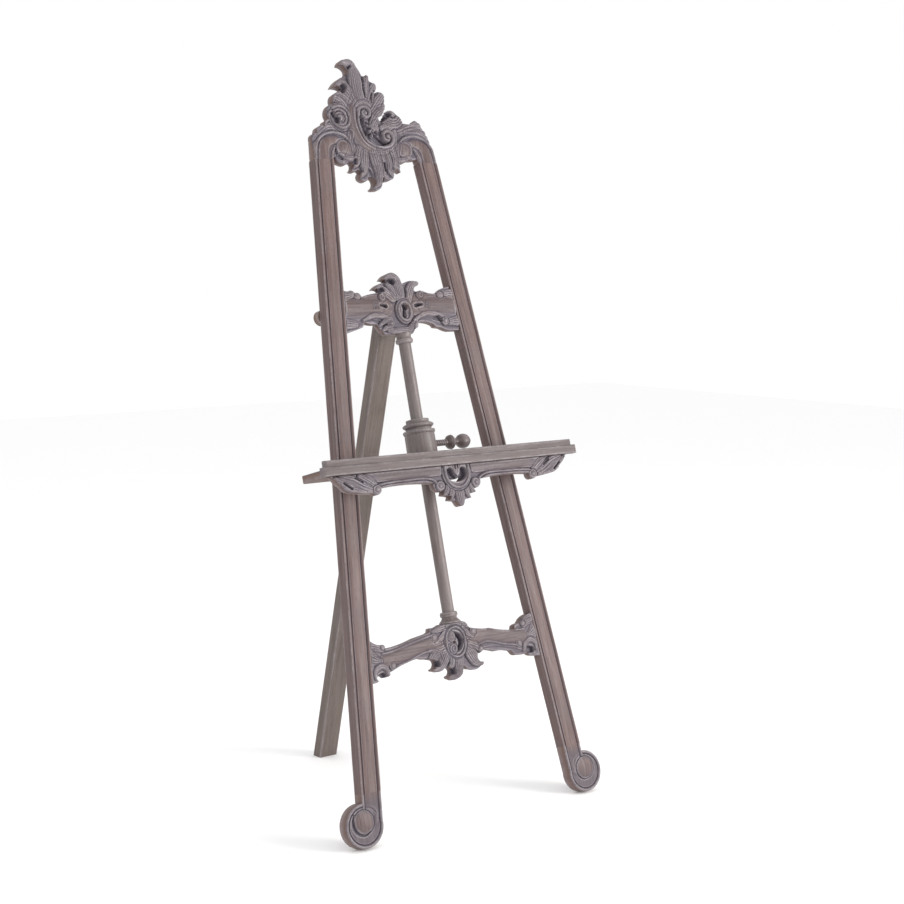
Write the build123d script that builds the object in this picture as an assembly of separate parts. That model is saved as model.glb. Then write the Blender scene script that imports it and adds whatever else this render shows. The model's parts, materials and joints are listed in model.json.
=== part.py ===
"""Carved wooden artist easel: a leaning front frame, a folding rear leg and a sliding shelf.

Everything but the rear leg is drawn in an upright frame: x to the right, y into the depth of the
frame with 0 on its front face, z up along the frame. lean_back() then tilts it into its stance.
"""
from build123d import *
from math import cos, radians, sin, tan
import os

# ---- driving dimensions, in mm and degrees ----
lean = 15.15              # front frame, backwards from upright
rear_lean = 13.85         # rear leg, from upright
floor_trim = 1.5          # worn flat on the underside of each front foot

leg_width = 50.0
leg_thick = 30.0
leg_spread = 641.0        # over the outer edges of the legs, at the foot of the frame
leg_taper = 5.71          # each leg leans inwards by this
leg_height = 1500.0       # along the frame, up to the crest's joint
crown_width = 27.0        # moulding on the front of a leg
crown_rise = 3.0
groove_radius = 2.2
groove_inset = 8.0

scroll_radius = 47.0      # volute at each foot
scroll_inset = 8.5        # volute's centre inside the leg's outer edge at its foot

board_thick = 24.0        # the two stretchers and the apron
crest_thick = 28.0
seat_low = 436.0          # top of the lower stretcher, where the post stands
seat_high = 1097.0        # underside of the upper stretcher, where the post ends
high_ends = (107.0, 109.0, 5.0, 5.0)         # corners of its ends, from seat_high
low_ends = (-8.0, -8.0, -108.0, -100.0)      # corners of the lower one's, from seat_low
tenon_length = 24.0
tenon_thick = 10.0
tenon_height = 60.0
tenon_drop = 56.0         # middle of the lower tenons, below seat_low
tenon_rise = 55.0         # middle of the upper ones, above seat_high
joint_gap = 0.1           # glue line round tenons and dowels

post_diameter = 28.0
post_tenon_diameter = 18.0
post_tenon_length = 36.0
ring_proud = 5.75         # of the rings round the post
ring_height = 11.0
base_proud = 11.0         # of the cone at the post's foot
base_height = 25.0
capital_height = 22.0

shelf_at = 795.0          # top of the shelf, along the frame
shelf_thick = 18.0
shelf_length = 673.0
shelf_gap = 2.0           # between the shelf and the legs' front faces
lip_front = 112.0         # from the frame's front face to the fascia's
fascia_length = 700.0
fascia_height = 20.0
fascia_thick = 18.0
strip_length = 685.0
strip_height = 14.0
strip_thick = 12.0
apron_setback = 9.5       # of the apron behind the fascia's face
apron_share = 0.937       # apron's length over the fascia's
block_leg = 26.0          # glue blocks behind the apron
block_length = 70.0
block_places = (-255.0, -110.0, 110.0, 255.0)

collar_diameter = 70.0
collar_height = 98.0      # barrel, from the shelf's underside
cap_height = 24.0
slide_clearance = 0.4     # radial, of the collar on the post
slide_down = 308.0
slide_up = 170.0

clamp_at = 842.0          # screw's axis, along the frame
shank_diameter = 15.0
shank_end = 72.0          # where the knob starts, from the post's axis
thread_clearance = 0.08
pad_thick = 4.0
pad_diameter = 13.6
pad_gap = 0.35            # pad to post, with the screw done up
spigot_diameter = 6.0
spigot_length = 7.0
pin_clearance = 0.05      # radial, on the hinge pin and the pad's spigot
disc_radius = 16.0        # ball next to the shank
disc_length = 20.0        # from the shank's end to the neck
neck_radius = 8.5
neck_length = 12.0
bulb_radius = 17.0
bulb_length = 32.0
tip_radius = 1.0
tip_length = 6.0

rail_height = 34.0
rail_thick = 20.0
rail_overhang = 5.0
rail_at = 1146.0          # rail's middle, along the frame

hinge_at = 1147.0         # pin, along the frame
knuckle_radius = 3.2
pin_radius = 1.6
hinge_offset = 2.6        # pin behind the rail's back face
fold_gap = 0.4            # between rail and rear leg when folded
hinge_length = 45.0
leaf_thick = 1.6
leaf_height = 26.0
knuckle_gap = 0.2         # along x, between neighbouring knuckles
knuckle_room = 0.5        # round a knuckle, in the rail and in the other leaf
fixed_leaf_height = 15.0
rear_width = 50.0
rear_thick = 30.0
rear_top = 14.0           # of the rear leg above its pin
stop_gap = 0.15           # rear leg's bevel to the rail, when open
channel_clearance = 0.9   # round the knuckles, in the rear leg

dowel_diameter = 10.0
dowel_depth = 32.0
dowel_spacing = 24.0      # between the two dowels of a leg's end
dowel_back = 1.0          # of the dowels' plane in front of the leg's middle
scroll_dowel_diameter = 8.0
scroll_dowel_length = 42.0
scroll_dowel_reach = 22.0 # into the leg, from its outer edge
scroll_dowel_heights = (32.0, 64.0)
screw_diameter = 4.0
screw_head_diameter = 8.0
rail_screw_length = 36.0
rail_screw_spread = 9.0   # above and below the rail's middle
rail_screw_inset = 12.0   # inside the leg's outer edge
hinge_screw_diameter = 3.0
hinge_screw_head = 5.6
hinge_screw_length = 14.0
hinge_screw_spread = 15.0 # along x, either side of the middle
collar_screw_length = 40.0
collar_screw_spread = 14.0   # along x, either side of the middle
collar_screw_start = 12.0    # in front of the barrel
collar_screw_sink = 2.0      # of its head above the shelf's underside
collar_screw_aim = 50.0      # from upright
screw_way = 12.0          # clear way over a screw's head

beyond = 500.0            # past every edge, for cutters
end_waste = 60.0          # of a leg's bar below and above it, before it is cut to length
tenon_root = 12.0         # of a tenon inside its own board
hinge_screw_edge = 5.0    # from the moving leaf's lower edge to its lower screws

# ---- sizes that follow ----
low_tenon_at = seat_low - tenon_drop
high_tenon_at = seat_high + tenon_rise
slope = tan(radians(leg_taper))
level_width = leg_width / cos(radians(leg_taper))
bar_centre = leg_spread / 2 - level_width / 2       # of a leg's bar at the foot of the frame
scroll_x = leg_spread / 2 - scroll_inset
mid_depth = board_thick / 2
shelf_bottom = shelf_at - shelf_thick
lip_bottom = shelf_bottom
shelf_front = lip_front - fascia_thick
strip_front = shelf_front + strip_thick
rail_back = leg_thick + rail_thick
pin_depth = rail_back + hinge_offset
lift = leg_thick * sin(radians(lean)) - floor_trim
pin_y = hinge_at * sin(radians(lean)) + pin_depth * cos(radians(lean))
pin_z = hinge_at * cos(radians(lean)) - pin_depth * sin(radians(lean)) + lift
rear_front = hinge_offset - fold_gap
rear_back = rear_thick - rear_front
stance = (pin_y + rear_back / cos(radians(rear_lean)) + pin_z * tan(radians(rear_lean)))
capital_bottom = seat_high - capital_height
base_top = seat_low + base_height


def outer_x(z):
    """Leg's outer edge at height z along the frame."""
    return leg_spread / 2 - z * slope


def inner_x(z):
    """Leg's inner edge at height z along the frame."""
    return outer_x(z) - level_width


# ---- outlines of the carved boards: x, z and how far the edge that follows bows outwards ----
# x is drawn for the leg places named here, and z is measured from the edge that the board joins.
crest_drawn = 170.5       # crest's half width over the legs' ends
upper_drawn = 155.0       # half width between the legs, at the upper stretcher
lower_drawn = 232.5       # the same at the lower stretcher
apron_drawn = 328.0       # half length of the apron
crest_left = [
    (-165.5, 46, 4), (-152, 72, 2), (-120, 90, 0), (-119, 106, 4), (-104, 131, 0), (-94, 140, 2),
    (-88, 156, 3), (-66, 164, 0), (-66, 170, 0), (-86, 174, 3), (-52, 198, -2), (-40, 216, -1),
    (-57, 229, 15),
]
crest_right = [
    (-14, 227, 1), (-2, 203, 0), (8, 206, 2), (15, 194, 3), (30, 179, 3), (20, 167, 0),
    (27, 161, 3), (43, 167, 4), (49, 140, 2), (38, 122, 0), (44, 118, 5), (76, 112, 2),
    (87, 98, -1), (112, 97, 4), (142, 100, 2), (147, 84, 0), (152, 71, 2), (163, 58, 0),
    (164, 35, 0),
]
crest_under = [
    (118, 10, 1), (84, 6, 0), (60, -1, 1), (62, -15, 0), (41, -22, 2), (40, -32, 1), (11, -40, 0),
    (8, -49, 5), (-19, -61, 0), (-29, -42, 3), (-50, -34, 0), (-53, -20, 2), (-68, -14, 0),
    (-69, 2, 5), (-111, 10, 0),
]
upper_top = [
    (-105, 90, 0), (-62, 96, 0), (-60, 106, 2), (-34, 120, 0), (-32, 127, 3), (-6, 141, 4),
    (11, 125, 0), (12, 114, 2), (48, 124, 3), (56, 112, 0), (52, 99, -1), (112, 93, -1),
]
upper_under = [
    (98, 15, 1), (60, 28, 0), (42, 27, 0), (36, 9, 1), (20, 0, 0), (-20, 0, 0), (-60, 4, 2),
    (-88, 15, -1),
]
lower_top = [
    (-200, -23, 0), (-184, -24, 0), (-182, -32, -1), (-120, -22, 0), (-78, -15, 0), (-64, -5, 1),
    (-30, 0, 0), (30, 0, 1), (46, -16, 0), (80, -20, -1), (176, -35, 0), (178, -27, -2),
]
lower_under = [
    (190, -97, 0), (164, -95, 0), (154, -84, -2), (78, -69, 0), (54, -80, 0), (66, -98, 5),
    (28, -106, -2), (10, -96, 0), (4, -120, 6), (-30, -116, 0), (-34, -98, 3), (-68, -94, 2),
    (-76, -74, 0), (-104, -66, -2), (-184, -80, 0), (-196, -91, 5),
]
half_apron = [
    (328, 0, 0), (318, -9, 1), (304, -22, 3), (284, -37, 1), (228, -44, 0), (222, -48, 6),
    (206, -35, -4), (66, -36, 4), (55, -54, 1), (41, -55, 0), (45, -64, 0), (25, -68, 0),
    (29, -76, 0), (11, -79, 13),
]


def placed(corners, scale, z):
    """Drawn corners stretched along x and lifted to their height along the frame."""
    return [(x * scale, z + dz, swell) for x, dz, swell in corners]


def crest_outline():
    """Crest, from the left leg's outer edge round to its inner edge."""
    across = outer_x(leg_height) / crest_drawn
    upper = placed(crest_left + crest_right, across, leg_height)
    under = placed(crest_under, across, leg_height)
    out, inn = outer_x(leg_height), inner_x(leg_height)
    ends = [(out, leg_height, 0), (inn, leg_height, 0)]
    return [(-out, leg_height, 0)] + upper + ends + under + [(-inn, leg_height, 0)]


def stretcher_outline(top, under, seat, drawn, end_heights):
    """Stretcher, whose ends stand on the legs' inner edges; the end heights go clockwise."""
    across = inner_x(seat + sum(end_heights) / 4) / drawn
    left_top, right_top, right_low, left_low = [seat + dz for dz in end_heights]
    ends = [(inner_x(right_top), right_top, 0), (inner_x(right_low), right_low, 0)]
    return (
        [(-inner_x(left_top), left_top, -2)] + placed(top, across, seat) + ends
        + placed(under, across, seat) + [(-inner_x(left_low), left_low, 0)]
    )


def apron_outline():
    """Apron, the same on both sides of its middle."""
    right = placed(half_apron, fascia_length / 2 / apron_drawn * apron_share, lip_bottom)
    swells = [swell for _, _, swell in right[:-1]]
    left = [(-x, z, swell) for (x, z, _), swell in zip(reversed(right), swells[::-1] + [0])]
    return right + left


def carved_face(corners):
    """Closed face through the corners, clockwise, with each edge bowed outwards by its swell."""
    edges = []
    for here, there in zip(corners, corners[1:] + corners[:1]):
        start, end = here[:2], there[:2]
        edges.append(SagittaArc(start, end, here[2]) if here[2] else Line(start, end))
    return make_face(edges)


def plank(face, front, back):
    """A face drawn in the frame's plane, given thickness between two depths."""
    return Pos(0, back, 0) * extrude(Plane.XZ * face, back - front)


def slab(x, y, z):
    """Box between the pairs of limits x, y and z."""
    size = [high - low for low, high in (x, y, z)]
    return Pos(x[0], y[0], z[0]) * Box(*size, align=(Align.MIN, Align.MIN, Align.MIN))


def rod_x(diameter, start, length, depth, z):
    """Round bar along x from start."""
    bar = Cylinder(diameter / 2, length, align=(Align.CENTER, Align.CENTER, Align.MIN))
    return Pos(start, depth, z) * Rot(0, 90, 0) * bar


def rod_z(diameter, start, length, x, depth):
    """Round bar along z from start."""
    bar = Cylinder(diameter / 2, length, align=(Align.CENTER, Align.CENTER, Align.MIN))
    return Pos(x, depth, start) * bar


def turned(profile):
    """Solid of revolution about the post's axis, from (radius, height) points and arc swells."""
    face = carved_face(profile)
    return Pos(0, mid_depth, 0) * revolve(Plane.XZ * face, Axis.Z)


def wood_screw(diameter, head, length, way=0.0):
    """Countersunk screw pointing down -z from the origin; as a cutter, with a way in for its head."""
    head_height = (head - diameter) / 2
    screw = Cone(diameter / 2, head / 2, head_height, align=(Align.CENTER, Align.CENTER, Align.MAX))
    screw += Cylinder(diameter / 2, length, align=(Align.CENTER, Align.CENTER, Align.MAX))
    if way:
        screw += Cylinder(head / 2, way, align=(Align.CENTER, Align.CENTER, Align.MIN))
    return screw


def lean_back(shape):
    """Moves a shape from the upright frame into the easel's stance."""
    return Pos(0, -stance / 2, lift) * Rot(-lean, 0, 0) * shape


def put_in_rear_leg(shape):
    """Moves a shape from the rear leg's own frame, with its pin at the origin, into the stance."""
    return Pos(0, pin_y - stance / 2, pin_z) * Rot(rear_lean, 0, 0) * shape


def above_floor(shape):
    """Cuts a shape in its stance flat on the floor."""
    return shape - Pos(0, 0, -beyond) * Box(4 * beyond, 4 * beyond, 2 * beyond)


# ---- front frame ----
def leg_stock(side):
    """Moulded bar of one leg, square-ended and longer than the leg."""
    half = leg_width / 2
    flat = crown_width / 2
    fillet_depth = crown_rise / 3
    crown_depth = fillet_depth + 1
    section = make_face([
        Line((-half, fillet_depth), (-flat, crown_depth)),
        ThreePointArc((-flat, crown_depth), (0, 0), (flat, crown_depth)),
        Polyline((flat, crown_depth), (half, fillet_depth), (half, leg_thick), (-half, leg_thick),
                 (-half, fillet_depth)),
    ])
    groove_x = half - groove_inset
    for x in (-groove_x, groove_x):
        section -= Pos(x, fillet_depth + groove_radius / 2) * Circle(groove_radius)
    bar = Pos(0, 0, -end_waste) * extrude(section, leg_height + 2.5 * end_waste)
    return Pos(side * bar_centre, 0, 0) * Rot(0, -side * leg_taper, 0) * bar


def tenon(z, side, gap):
    """Tenon that a stretcher at height z has in the leg on that side."""
    reach = (inner_x(z) - tenon_root, inner_x(z) + tenon_length + gap)
    x = reach if side > 0 else (-reach[1], -reach[0])
    y = (mid_depth - tenon_thick / 2 - gap, mid_depth + tenon_thick / 2 + gap)
    return slab(x, y, (z - tenon_height / 2 - gap, z + tenon_height / 2 + gap))


def dowels(side, gap):
    """Pair of dowels between a leg's end and the crest."""
    middle = side * (outer_x(leg_height) - level_width / 2)
    diameter = dowel_diameter + 2 * gap
    depth = dowel_depth + gap
    places = (middle - dowel_spacing / 2, middle + dowel_spacing / 2)
    behind = leg_thick / 2 - dowel_back
    return [rod_z(diameter, leg_height - depth, 2 * depth, x, behind) for x in places]


def scroll_dowels(side, gap):
    """Pair of dowels between a leg and its volute block."""
    diameter = scroll_dowel_diameter + 2 * gap
    bars = []
    for z in scroll_dowel_heights:
        start = outer_x(z) - scroll_dowel_reach - gap
        bar = rod_x(diameter, start, scroll_dowel_length + 2 * gap, leg_thick / 2, z)
        bars.append(bar if side > 0 else mirror(bar, Plane.YZ))
    return bars


def volute_disc(side):
    """Round of the foot, across the leg and its block."""
    return plank(Pos(side * scroll_x, scroll_radius) * Circle(scroll_radius), 0, leg_thick)


def rail_screw_places():
    """x and z of the screws through the back rail into the legs."""
    spots = []
    for side in (-1, 1):
        for dz in (-rail_screw_spread, rail_screw_spread):
            spots.append((side * (outer_x(rail_at) - rail_screw_inset), rail_at + dz))
    return spots


def rail_screws(way=0.0):
    """Screws of the back rail, in the upright frame."""
    one = wood_screw(screw_diameter, screw_head_diameter, rail_screw_length, way)
    return [Pos(x, rail_back, z) * Rot(-90, 0, 0) * one for x, z in rail_screw_places()]


def make_leg(side):
    """Leg with its mortises and dowel holes, in the upright frame."""
    leg = leg_stock(side)
    across = (-beyond, beyond)
    leg -= slab(across, across, (leg_height, leg_height + beyond))
    low = slab(across, across, (-beyond, scroll_radius))
    leg = (leg - low) + (leg & volute_disc(side))
    for z in (low_tenon_at, high_tenon_at):
        leg -= tenon(z, side, joint_gap)
    for peg in dowels(side, joint_gap) + scroll_dowels(side, joint_gap) + rail_screws():
        leg -= peg
    return leg


def make_scroll(side):
    """Volute block: what the round of the foot has outside the leg."""
    block = volute_disc(side)
    leg_place = Box(leg_width, beyond, beyond)
    block -= Pos(side * bar_centre, 0, 0) * Rot(0, -side * leg_taper, 0) * leg_place
    inner = slab((0, bar_centre), (-beyond, beyond), (-beyond, beyond))
    block -= inner if side > 0 else mirror(inner, Plane.YZ)
    for peg in scroll_dowels(side, joint_gap):
        block -= peg
    return block


def make_crest():
    """Crest board, on the ends of both legs."""
    board = plank(carved_face(crest_outline()), 0, crest_thick)
    for side in (-1, 1):
        for peg in dowels(side, joint_gap):
            board -= peg
    return board


def make_stretcher(outline, tenon_at, post_end):
    """Stretcher board with its two tenons and the round mortise for one end of the post."""
    board = plank(carved_face(outline), 0, board_thick)
    for side in (-1, 1):
        board += tenon(tenon_at, side, 0)
    start = post_end[0] - joint_gap
    length = post_end[1] - post_end[0] + 2 * joint_gap
    return board - rod_z(post_tenon_diameter + 2 * joint_gap, start, length, 0, mid_depth)


low_end = (seat_low - post_tenon_length, seat_low)
high_end = (seat_high, seat_high + post_tenon_length)


def make_post():
    """Turned post with a round tenon at each end."""
    post = rod_z(post_diameter, seat_low, seat_high - seat_low, 0, mid_depth)
    for start, end in (low_end, high_end):
        post += rod_z(post_tenon_diameter, start, end - start, 0, mid_depth)
    return post


def make_post_base():
    """Ring on a cone at the foot of the post."""
    r_in = post_diameter / 2
    r_ring = r_in + ring_proud
    ring_bottom = base_top - ring_height
    return turned([
        (r_in, seat_low, 0), (r_in, base_top, 0), (r_ring - 3, base_top, 2),
        (r_ring - 2, ring_bottom, 0), (r_in + 3, ring_bottom - 1, -3), (r_in + base_proud, seat_low + 2, 0),
        (r_in + base_proud, seat_low, 0),
    ])


def make_post_capital():
    """Ring and neck at the top of the post."""
    r_in = post_diameter / 2
    r_ring = r_in + ring_proud
    ring_top = capital_bottom + ring_height
    return turned([
        (r_in, capital_bottom, 0), (r_in, seat_high, 0), (r_in + 4.5, seat_high, 0),
        (r_in + 3.5, ring_top + 1, 0), (r_ring - 2, ring_top, 2), (r_ring - 3, capital_bottom, 0),
    ])


def make_back_rail():
    """Round-ended rail behind the legs."""
    half = outer_x(rail_at) + rail_overhang
    face = Pos(0, rail_at) * SlotOverall(2 * half, rail_height)
    rail = plank(face, leg_thick, rail_back)
    half = hinge_length / 2
    recess = (hinge_at - fixed_leaf_height, hinge_at)
    rail -= slab((-half, half), (rail_back - leaf_thick, rail_back + 1), recess)
    groove = 2 * (knuckle_radius + knuckle_room)
    rail -= rod_x(groove, -half - 2, hinge_length + 4, pin_depth, hinge_at)
    for screw in rail_screws(screw_way) + rail_hinge_screws(screw_way):
        rail -= screw
    return rail


# ---- hinge: in the upright frame on the rail, and in the rear leg's frame on the leg ----
def knuckles(first, gap):
    """Barrel lengths along x of one leaf: two outer ones, or the middle one."""
    third = hinge_length / 3
    half = hinge_length / 2
    if first:
        return [(-half, -half + third - gap), (half - third + gap, half)]
    return [(-half + third + gap, half - third - gap)]


def barrel(spans, depth, z):
    """Knuckles about the pin, with the pin's running clearance."""
    bars = [rod_x(2 * knuckle_radius, a, b - a, depth, z) for a, b in spans]
    hole = rod_x(2 * (pin_radius + pin_clearance), -hinge_length, 2 * hinge_length, depth, z)
    return bars, hole


def rail_hinge_screws(way=0.0):
    """Screws of the fixed leaf, in the upright frame."""
    one = wood_screw(hinge_screw_diameter, hinge_screw_head, hinge_screw_length, way)
    z = hinge_at - fixed_leaf_height + hinge_screw_head / 2 + 1.4
    places = (-hinge_screw_spread, 0, hinge_screw_spread)
    return [Pos(x, rail_back, z) * Rot(-90, 0, 0) * one for x in places]


def leg_hinge_screws(way=0.0):
    """Screws of the moving leaf, in the rear leg's frame."""
    one = wood_screw(hinge_screw_diameter, hinge_screw_head, hinge_screw_length, way)
    low = -leaf_height + hinge_screw_edge
    spots = [(-hinge_screw_spread, low), (hinge_screw_spread, low), (0, 1 - leaf_height / 2)]
    return [Pos(x, -rear_front, z) * Rot(90, 0, 0) * one for x, z in spots]


def make_fixed_leaf():
    """Leaf on the back rail, with the two outer knuckles."""
    bars, hole = barrel(knuckles(True, knuckle_gap), pin_depth, hinge_at)
    half = hinge_length / 2
    reach = (hinge_at - fixed_leaf_height, hinge_at)
    leaf = slab((-half, half), (rail_back - leaf_thick, rail_back), reach)
    room = knuckle_radius + knuckle_room
    for start, end in knuckles(False, -knuckle_gap):
        leaf -= slab((start, end), (rail_back - 9, rail_back + 9), (hinge_at - room, hinge_at + room))
    for bar in bars:
        leaf += bar
    for screw in rail_hinge_screws(screw_way):
        leaf -= screw
    return leaf - hole


def make_moving_leaf():
    """Leaf on the rear leg's front face, with the middle knuckle, in the rear leg's frame."""
    bars, hole = barrel(knuckles(False, knuckle_gap), 0, 0)
    half = hinge_length / 2
    leaf = slab((-half, half), (-rear_front, -rear_front + leaf_thick), (-leaf_height, 0))
    room = knuckle_radius + knuckle_room
    for span in knuckles(True, -knuckle_gap):
        leaf -= slab(span, (-9, 9), (-room, room))
    for bar in bars:
        leaf += bar
    for screw in leg_hinge_screws(screw_way):
        leaf -= screw
    return leaf - hole


def make_hinge_pin():
    """Pin through the knuckles, with a rounded head at each end."""
    pin = rod_x(2 * pin_radius, -hinge_length / 2 - 1.5, hinge_length + 3, pin_depth, hinge_at)
    for x in (-hinge_length / 2 - 1.5, hinge_length / 2):
        pin += rod_x(2 * knuckle_radius - 1, x, 1.5, pin_depth, hinge_at)
    return pin


def make_rear_leg():
    """Rear leg in its own frame: a bevel above the pin bears on the rail when the leg is open."""
    length = pin_z / cos(radians(rear_lean)) + 2 * rear_thick
    half = rear_width / 2
    leg = slab((-half, half), (-rear_front, rear_back), (-length, rear_top))
    opening = lean + rear_lean
    across = (-rear_width, rear_width)
    rail_place = slab(across, (-beyond, -hinge_offset + stop_gap), (-rail_height, beyond))
    leg -= Rot(-opening, 0, 0) * rail_place
    room = knuckle_radius + channel_clearance
    leg -= rod_x(2 * room, -rear_width, 2 * rear_width, 0, 0)
    leg -= slab(across, (-hinge_offset - 1, 0), (-room, room))
    leaf_span = (-hinge_length / 2, hinge_length / 2)
    leg -= slab(leaf_span, (-rear_thick, -rear_front + leaf_thick), (-leaf_height, 0))
    for screw in leg_hinge_screws(screw_way):
        leg -= screw
    return leg


# ---- sliding shelf ----
def collar_screws(way=0.0):
    """Pocket screws up through the shelf into the barrel, in the upright frame."""
    one = wood_screw(screw_diameter, screw_head_diameter, collar_screw_length, way)
    start = mid_depth - collar_diameter / 2 - collar_screw_start
    aim = Rot(0, 180, 0) * Rot(collar_screw_aim, 0, 0)
    places = (-collar_screw_spread, collar_screw_spread)
    return [Pos(x, start, shelf_bottom + collar_screw_sink) * aim * one for x in places]


def make_collar():
    """Barrel with the threaded bore for the clamp screw."""
    r = collar_diameter / 2
    top = shelf_bottom + collar_height
    r_in = post_diameter / 2 + slide_clearance
    barrel_body = turned([
        (r_in, shelf_bottom, 0), (r_in, top, 0), (r - 3, top, 0), (r + 2, top - 4, 0),
        (r - 0.5, top - 11, 0), (r, shelf_bottom, 0),
    ])
    bore = rod_x(shank_diameter + 2 * thread_clearance, 0, collar_diameter, mid_depth, clamp_at)
    barrel_body -= bore
    for screw in collar_screws(screw_way):
        barrel_body -= screw
    return barrel_body


def make_collar_cap():
    """Turned cap ring: a bead, a hollow and a flat top."""
    r_in = post_diameter / 2 + slide_clearance
    bottom = shelf_bottom + collar_height
    top = bottom + cap_height
    r = collar_diameter / 2
    return turned([
        (r_in, bottom, 0), (r_in, top, 0), (r - 8, top, 1), (r - 7, top - 6, -2),
        (r - 1, bottom + 13, 3), (r - 3, bottom + 4, 0), (r - 6, bottom, 0),
    ])


def make_shelf():
    """Shelf board, notched round the barrel."""
    half = shelf_length / 2
    board = slab((-half, half), (-shelf_front, -shelf_gap), (shelf_bottom, shelf_at))
    board -= rod_z(collar_diameter + 2 * joint_gap, shelf_bottom - 1, shelf_thick + 2, 0, mid_depth)
    for screw in collar_screws(screw_way):
        board -= screw
    return board


def make_lip():
    """Fascia with the strip that stands up from it."""
    half = fascia_length / 2
    fascia = slab((-half, half), (-lip_front, -shelf_front), (lip_bottom, lip_bottom + fascia_height))
    fascia = fillet(fascia.edges().filter_by(Axis.Z).group_by(Axis.Y)[0], 4)
    half = strip_length / 2
    top = lip_bottom + fascia_height + strip_height
    strip = slab((-half, half), (-strip_front, -shelf_front), (lip_bottom + fascia_height, top))
    return fascia + strip


def make_apron():
    """Carved apron under the shelf's front."""
    front = lip_front - apron_setback
    return plank(carved_face(apron_outline()), -front, -front + board_thick)


def glue_blocks():
    """Triangular blocks in the corner of apron and shelf."""
    back = -(lip_front - apron_setback) + board_thick
    corner = [(back, shelf_bottom), (back + block_leg, shelf_bottom), (back, shelf_bottom - block_leg)]
    face = make_face(Polyline(*corner, close=True))
    block = extrude(Plane.YZ * face, block_length / 2, both=True)
    return [Pos(x, 0, 0) * block for x in block_places]


# ---- clamp ----
def pad_span():
    """Start and end of the pad along x, with the screw done up."""
    start = post_diameter / 2 + pad_gap
    return start, start + pad_thick


def make_clamp_pad():
    """Pad with the spigot that holds it in the end of the screw."""
    start, end = pad_span()
    pad = rod_x(pad_diameter, start, pad_thick, mid_depth, clamp_at)
    return pad + rod_x(spigot_diameter, end, spigot_length, mid_depth, clamp_at)


def make_clamp_screw():
    """Screw with a plain shank, a double ball and a pointed knob, turned about x."""
    start = pad_span()[1] + 0.1
    r = shank_diameter / 2
    disc_middle = shank_end + 0.45 * disc_length
    neck_start = shank_end + disc_length
    neck_end = neck_start + neck_length
    bulb_end = neck_end + bulb_length
    tip = bulb_end + tip_length
    disc_top = (disc_middle + 0.225 * disc_length, disc_radius + 0.8)
    bulb_top = (neck_end + 0.56 * bulb_length, bulb_radius)
    profile = make_face([
        Polyline((start, 0), (start, r), (shank_end, r)),
        SagittaArc((shank_end, r), (disc_middle, disc_radius - 1), 2),
        Line((disc_middle, disc_radius - 1), (disc_middle, disc_radius)),
        ThreePointArc((disc_middle, disc_radius), disc_top, (neck_start, neck_radius)),
        SagittaArc((neck_start, neck_radius), (neck_end, neck_radius), -1),
        ThreePointArc((neck_end, neck_radius), bulb_top, (bulb_end, neck_radius)),
        SagittaArc((bulb_end, neck_radius), (tip, tip_radius), 1.5),
        Polyline((tip, tip_radius), (tip, 0), (start, 0)),
    ])
    screw = revolve(profile, Axis.X)
    screw = Pos(0, mid_depth, clamp_at) * screw
    hole = spigot_diameter + 2 * pin_clearance
    return screw - rod_x(hole, start - 1, spigot_length + 1.6, mid_depth, clamp_at)


def save(name, *shapes):
    """Writes one node as a STEP file."""
    solids = [solid for shape in shapes for solid in shape.solids()]
    whole = solids[0] if len(solids) == 1 else Compound(children=solids)
    whole.label = name
    export_step(whole, f"parts/{name}.step")


def main():
    """Builds every piece and writes it in its stance."""
    os.makedirs("parts", exist_ok=True)
    for side, word in ((-1, "left"), (1, "right")):
        save(f"leg_{word}", above_floor(lean_back(make_leg(side))))
        save(f"foot_scroll_{word}", above_floor(lean_back(make_scroll(side))))
    save("crest", lean_back(make_crest()))
    save("crest_dowels", *[lean_back(peg) for side in (-1, 1) for peg in dowels(side, 0)])
    save("scroll_dowels", *[lean_back(peg) for side in (-1, 1) for peg in scroll_dowels(side, 0)])
    high = stretcher_outline(upper_top, upper_under, seat_high, upper_drawn, high_ends)
    low = stretcher_outline(lower_top, lower_under, seat_low, lower_drawn, low_ends)
    save("upper_stretcher", lean_back(make_stretcher(high, high_tenon_at, high_end)))
    save("lower_stretcher", lean_back(make_stretcher(low, low_tenon_at, low_end)))
    save("post", lean_back(make_post()))
    save("post_base", lean_back(make_post_base()))
    save("post_capital", lean_back(make_post_capital()))
    save("back_rail", lean_back(make_back_rail()))
    save("rail_screws", *[lean_back(screw) for screw in rail_screws()])
    save("hinge_leaf_fixed", lean_back(make_fixed_leaf()))
    save("hinge_screws_rail", *[lean_back(screw) for screw in rail_hinge_screws()])
    save("hinge_pin", lean_back(make_hinge_pin()))
    save("rear_leg", above_floor(put_in_rear_leg(make_rear_leg())))
    save("hinge_leaf_moving", put_in_rear_leg(make_moving_leaf()))
    save("hinge_screws_leg", *[put_in_rear_leg(screw) for screw in leg_hinge_screws()])
    save("tray_board", lean_back(make_shelf()))
    save("tray_lip", lean_back(make_lip()))
    save("tray_apron", lean_back(make_apron()))
    save("apron_glue_blocks", *[lean_back(block) for block in glue_blocks()])
    save("collar", lean_back(make_collar()))
    save("collar_cap", lean_back(make_collar_cap()))
    save("collar_screws", *[lean_back(screw) for screw in collar_screws()])
    save("clamp_pad", lean_back(make_clamp_pad()))
    save("clamp_screw", lean_back(make_clamp_screw()))
    print(f"stance {stance:.3f}  pin y {pin_y - stance / 2:.3f} z {pin_z:.3f}  fold {lean + rear_lean:.2f}")


if __name__ == "__main__":
    main()
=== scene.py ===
"""Looks of a carved wooden easel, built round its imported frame.

The front frame is drawn upright, in millimetres: x to the right, depth into the frame with 0 on its
front face, height along the frame. Stance.place() turns such points into metres in the model's frame.
"""

import json
import logging
import math
from dataclasses import dataclass, field
from enum import Enum
from typing import Callable, Sequence, Union

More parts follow.
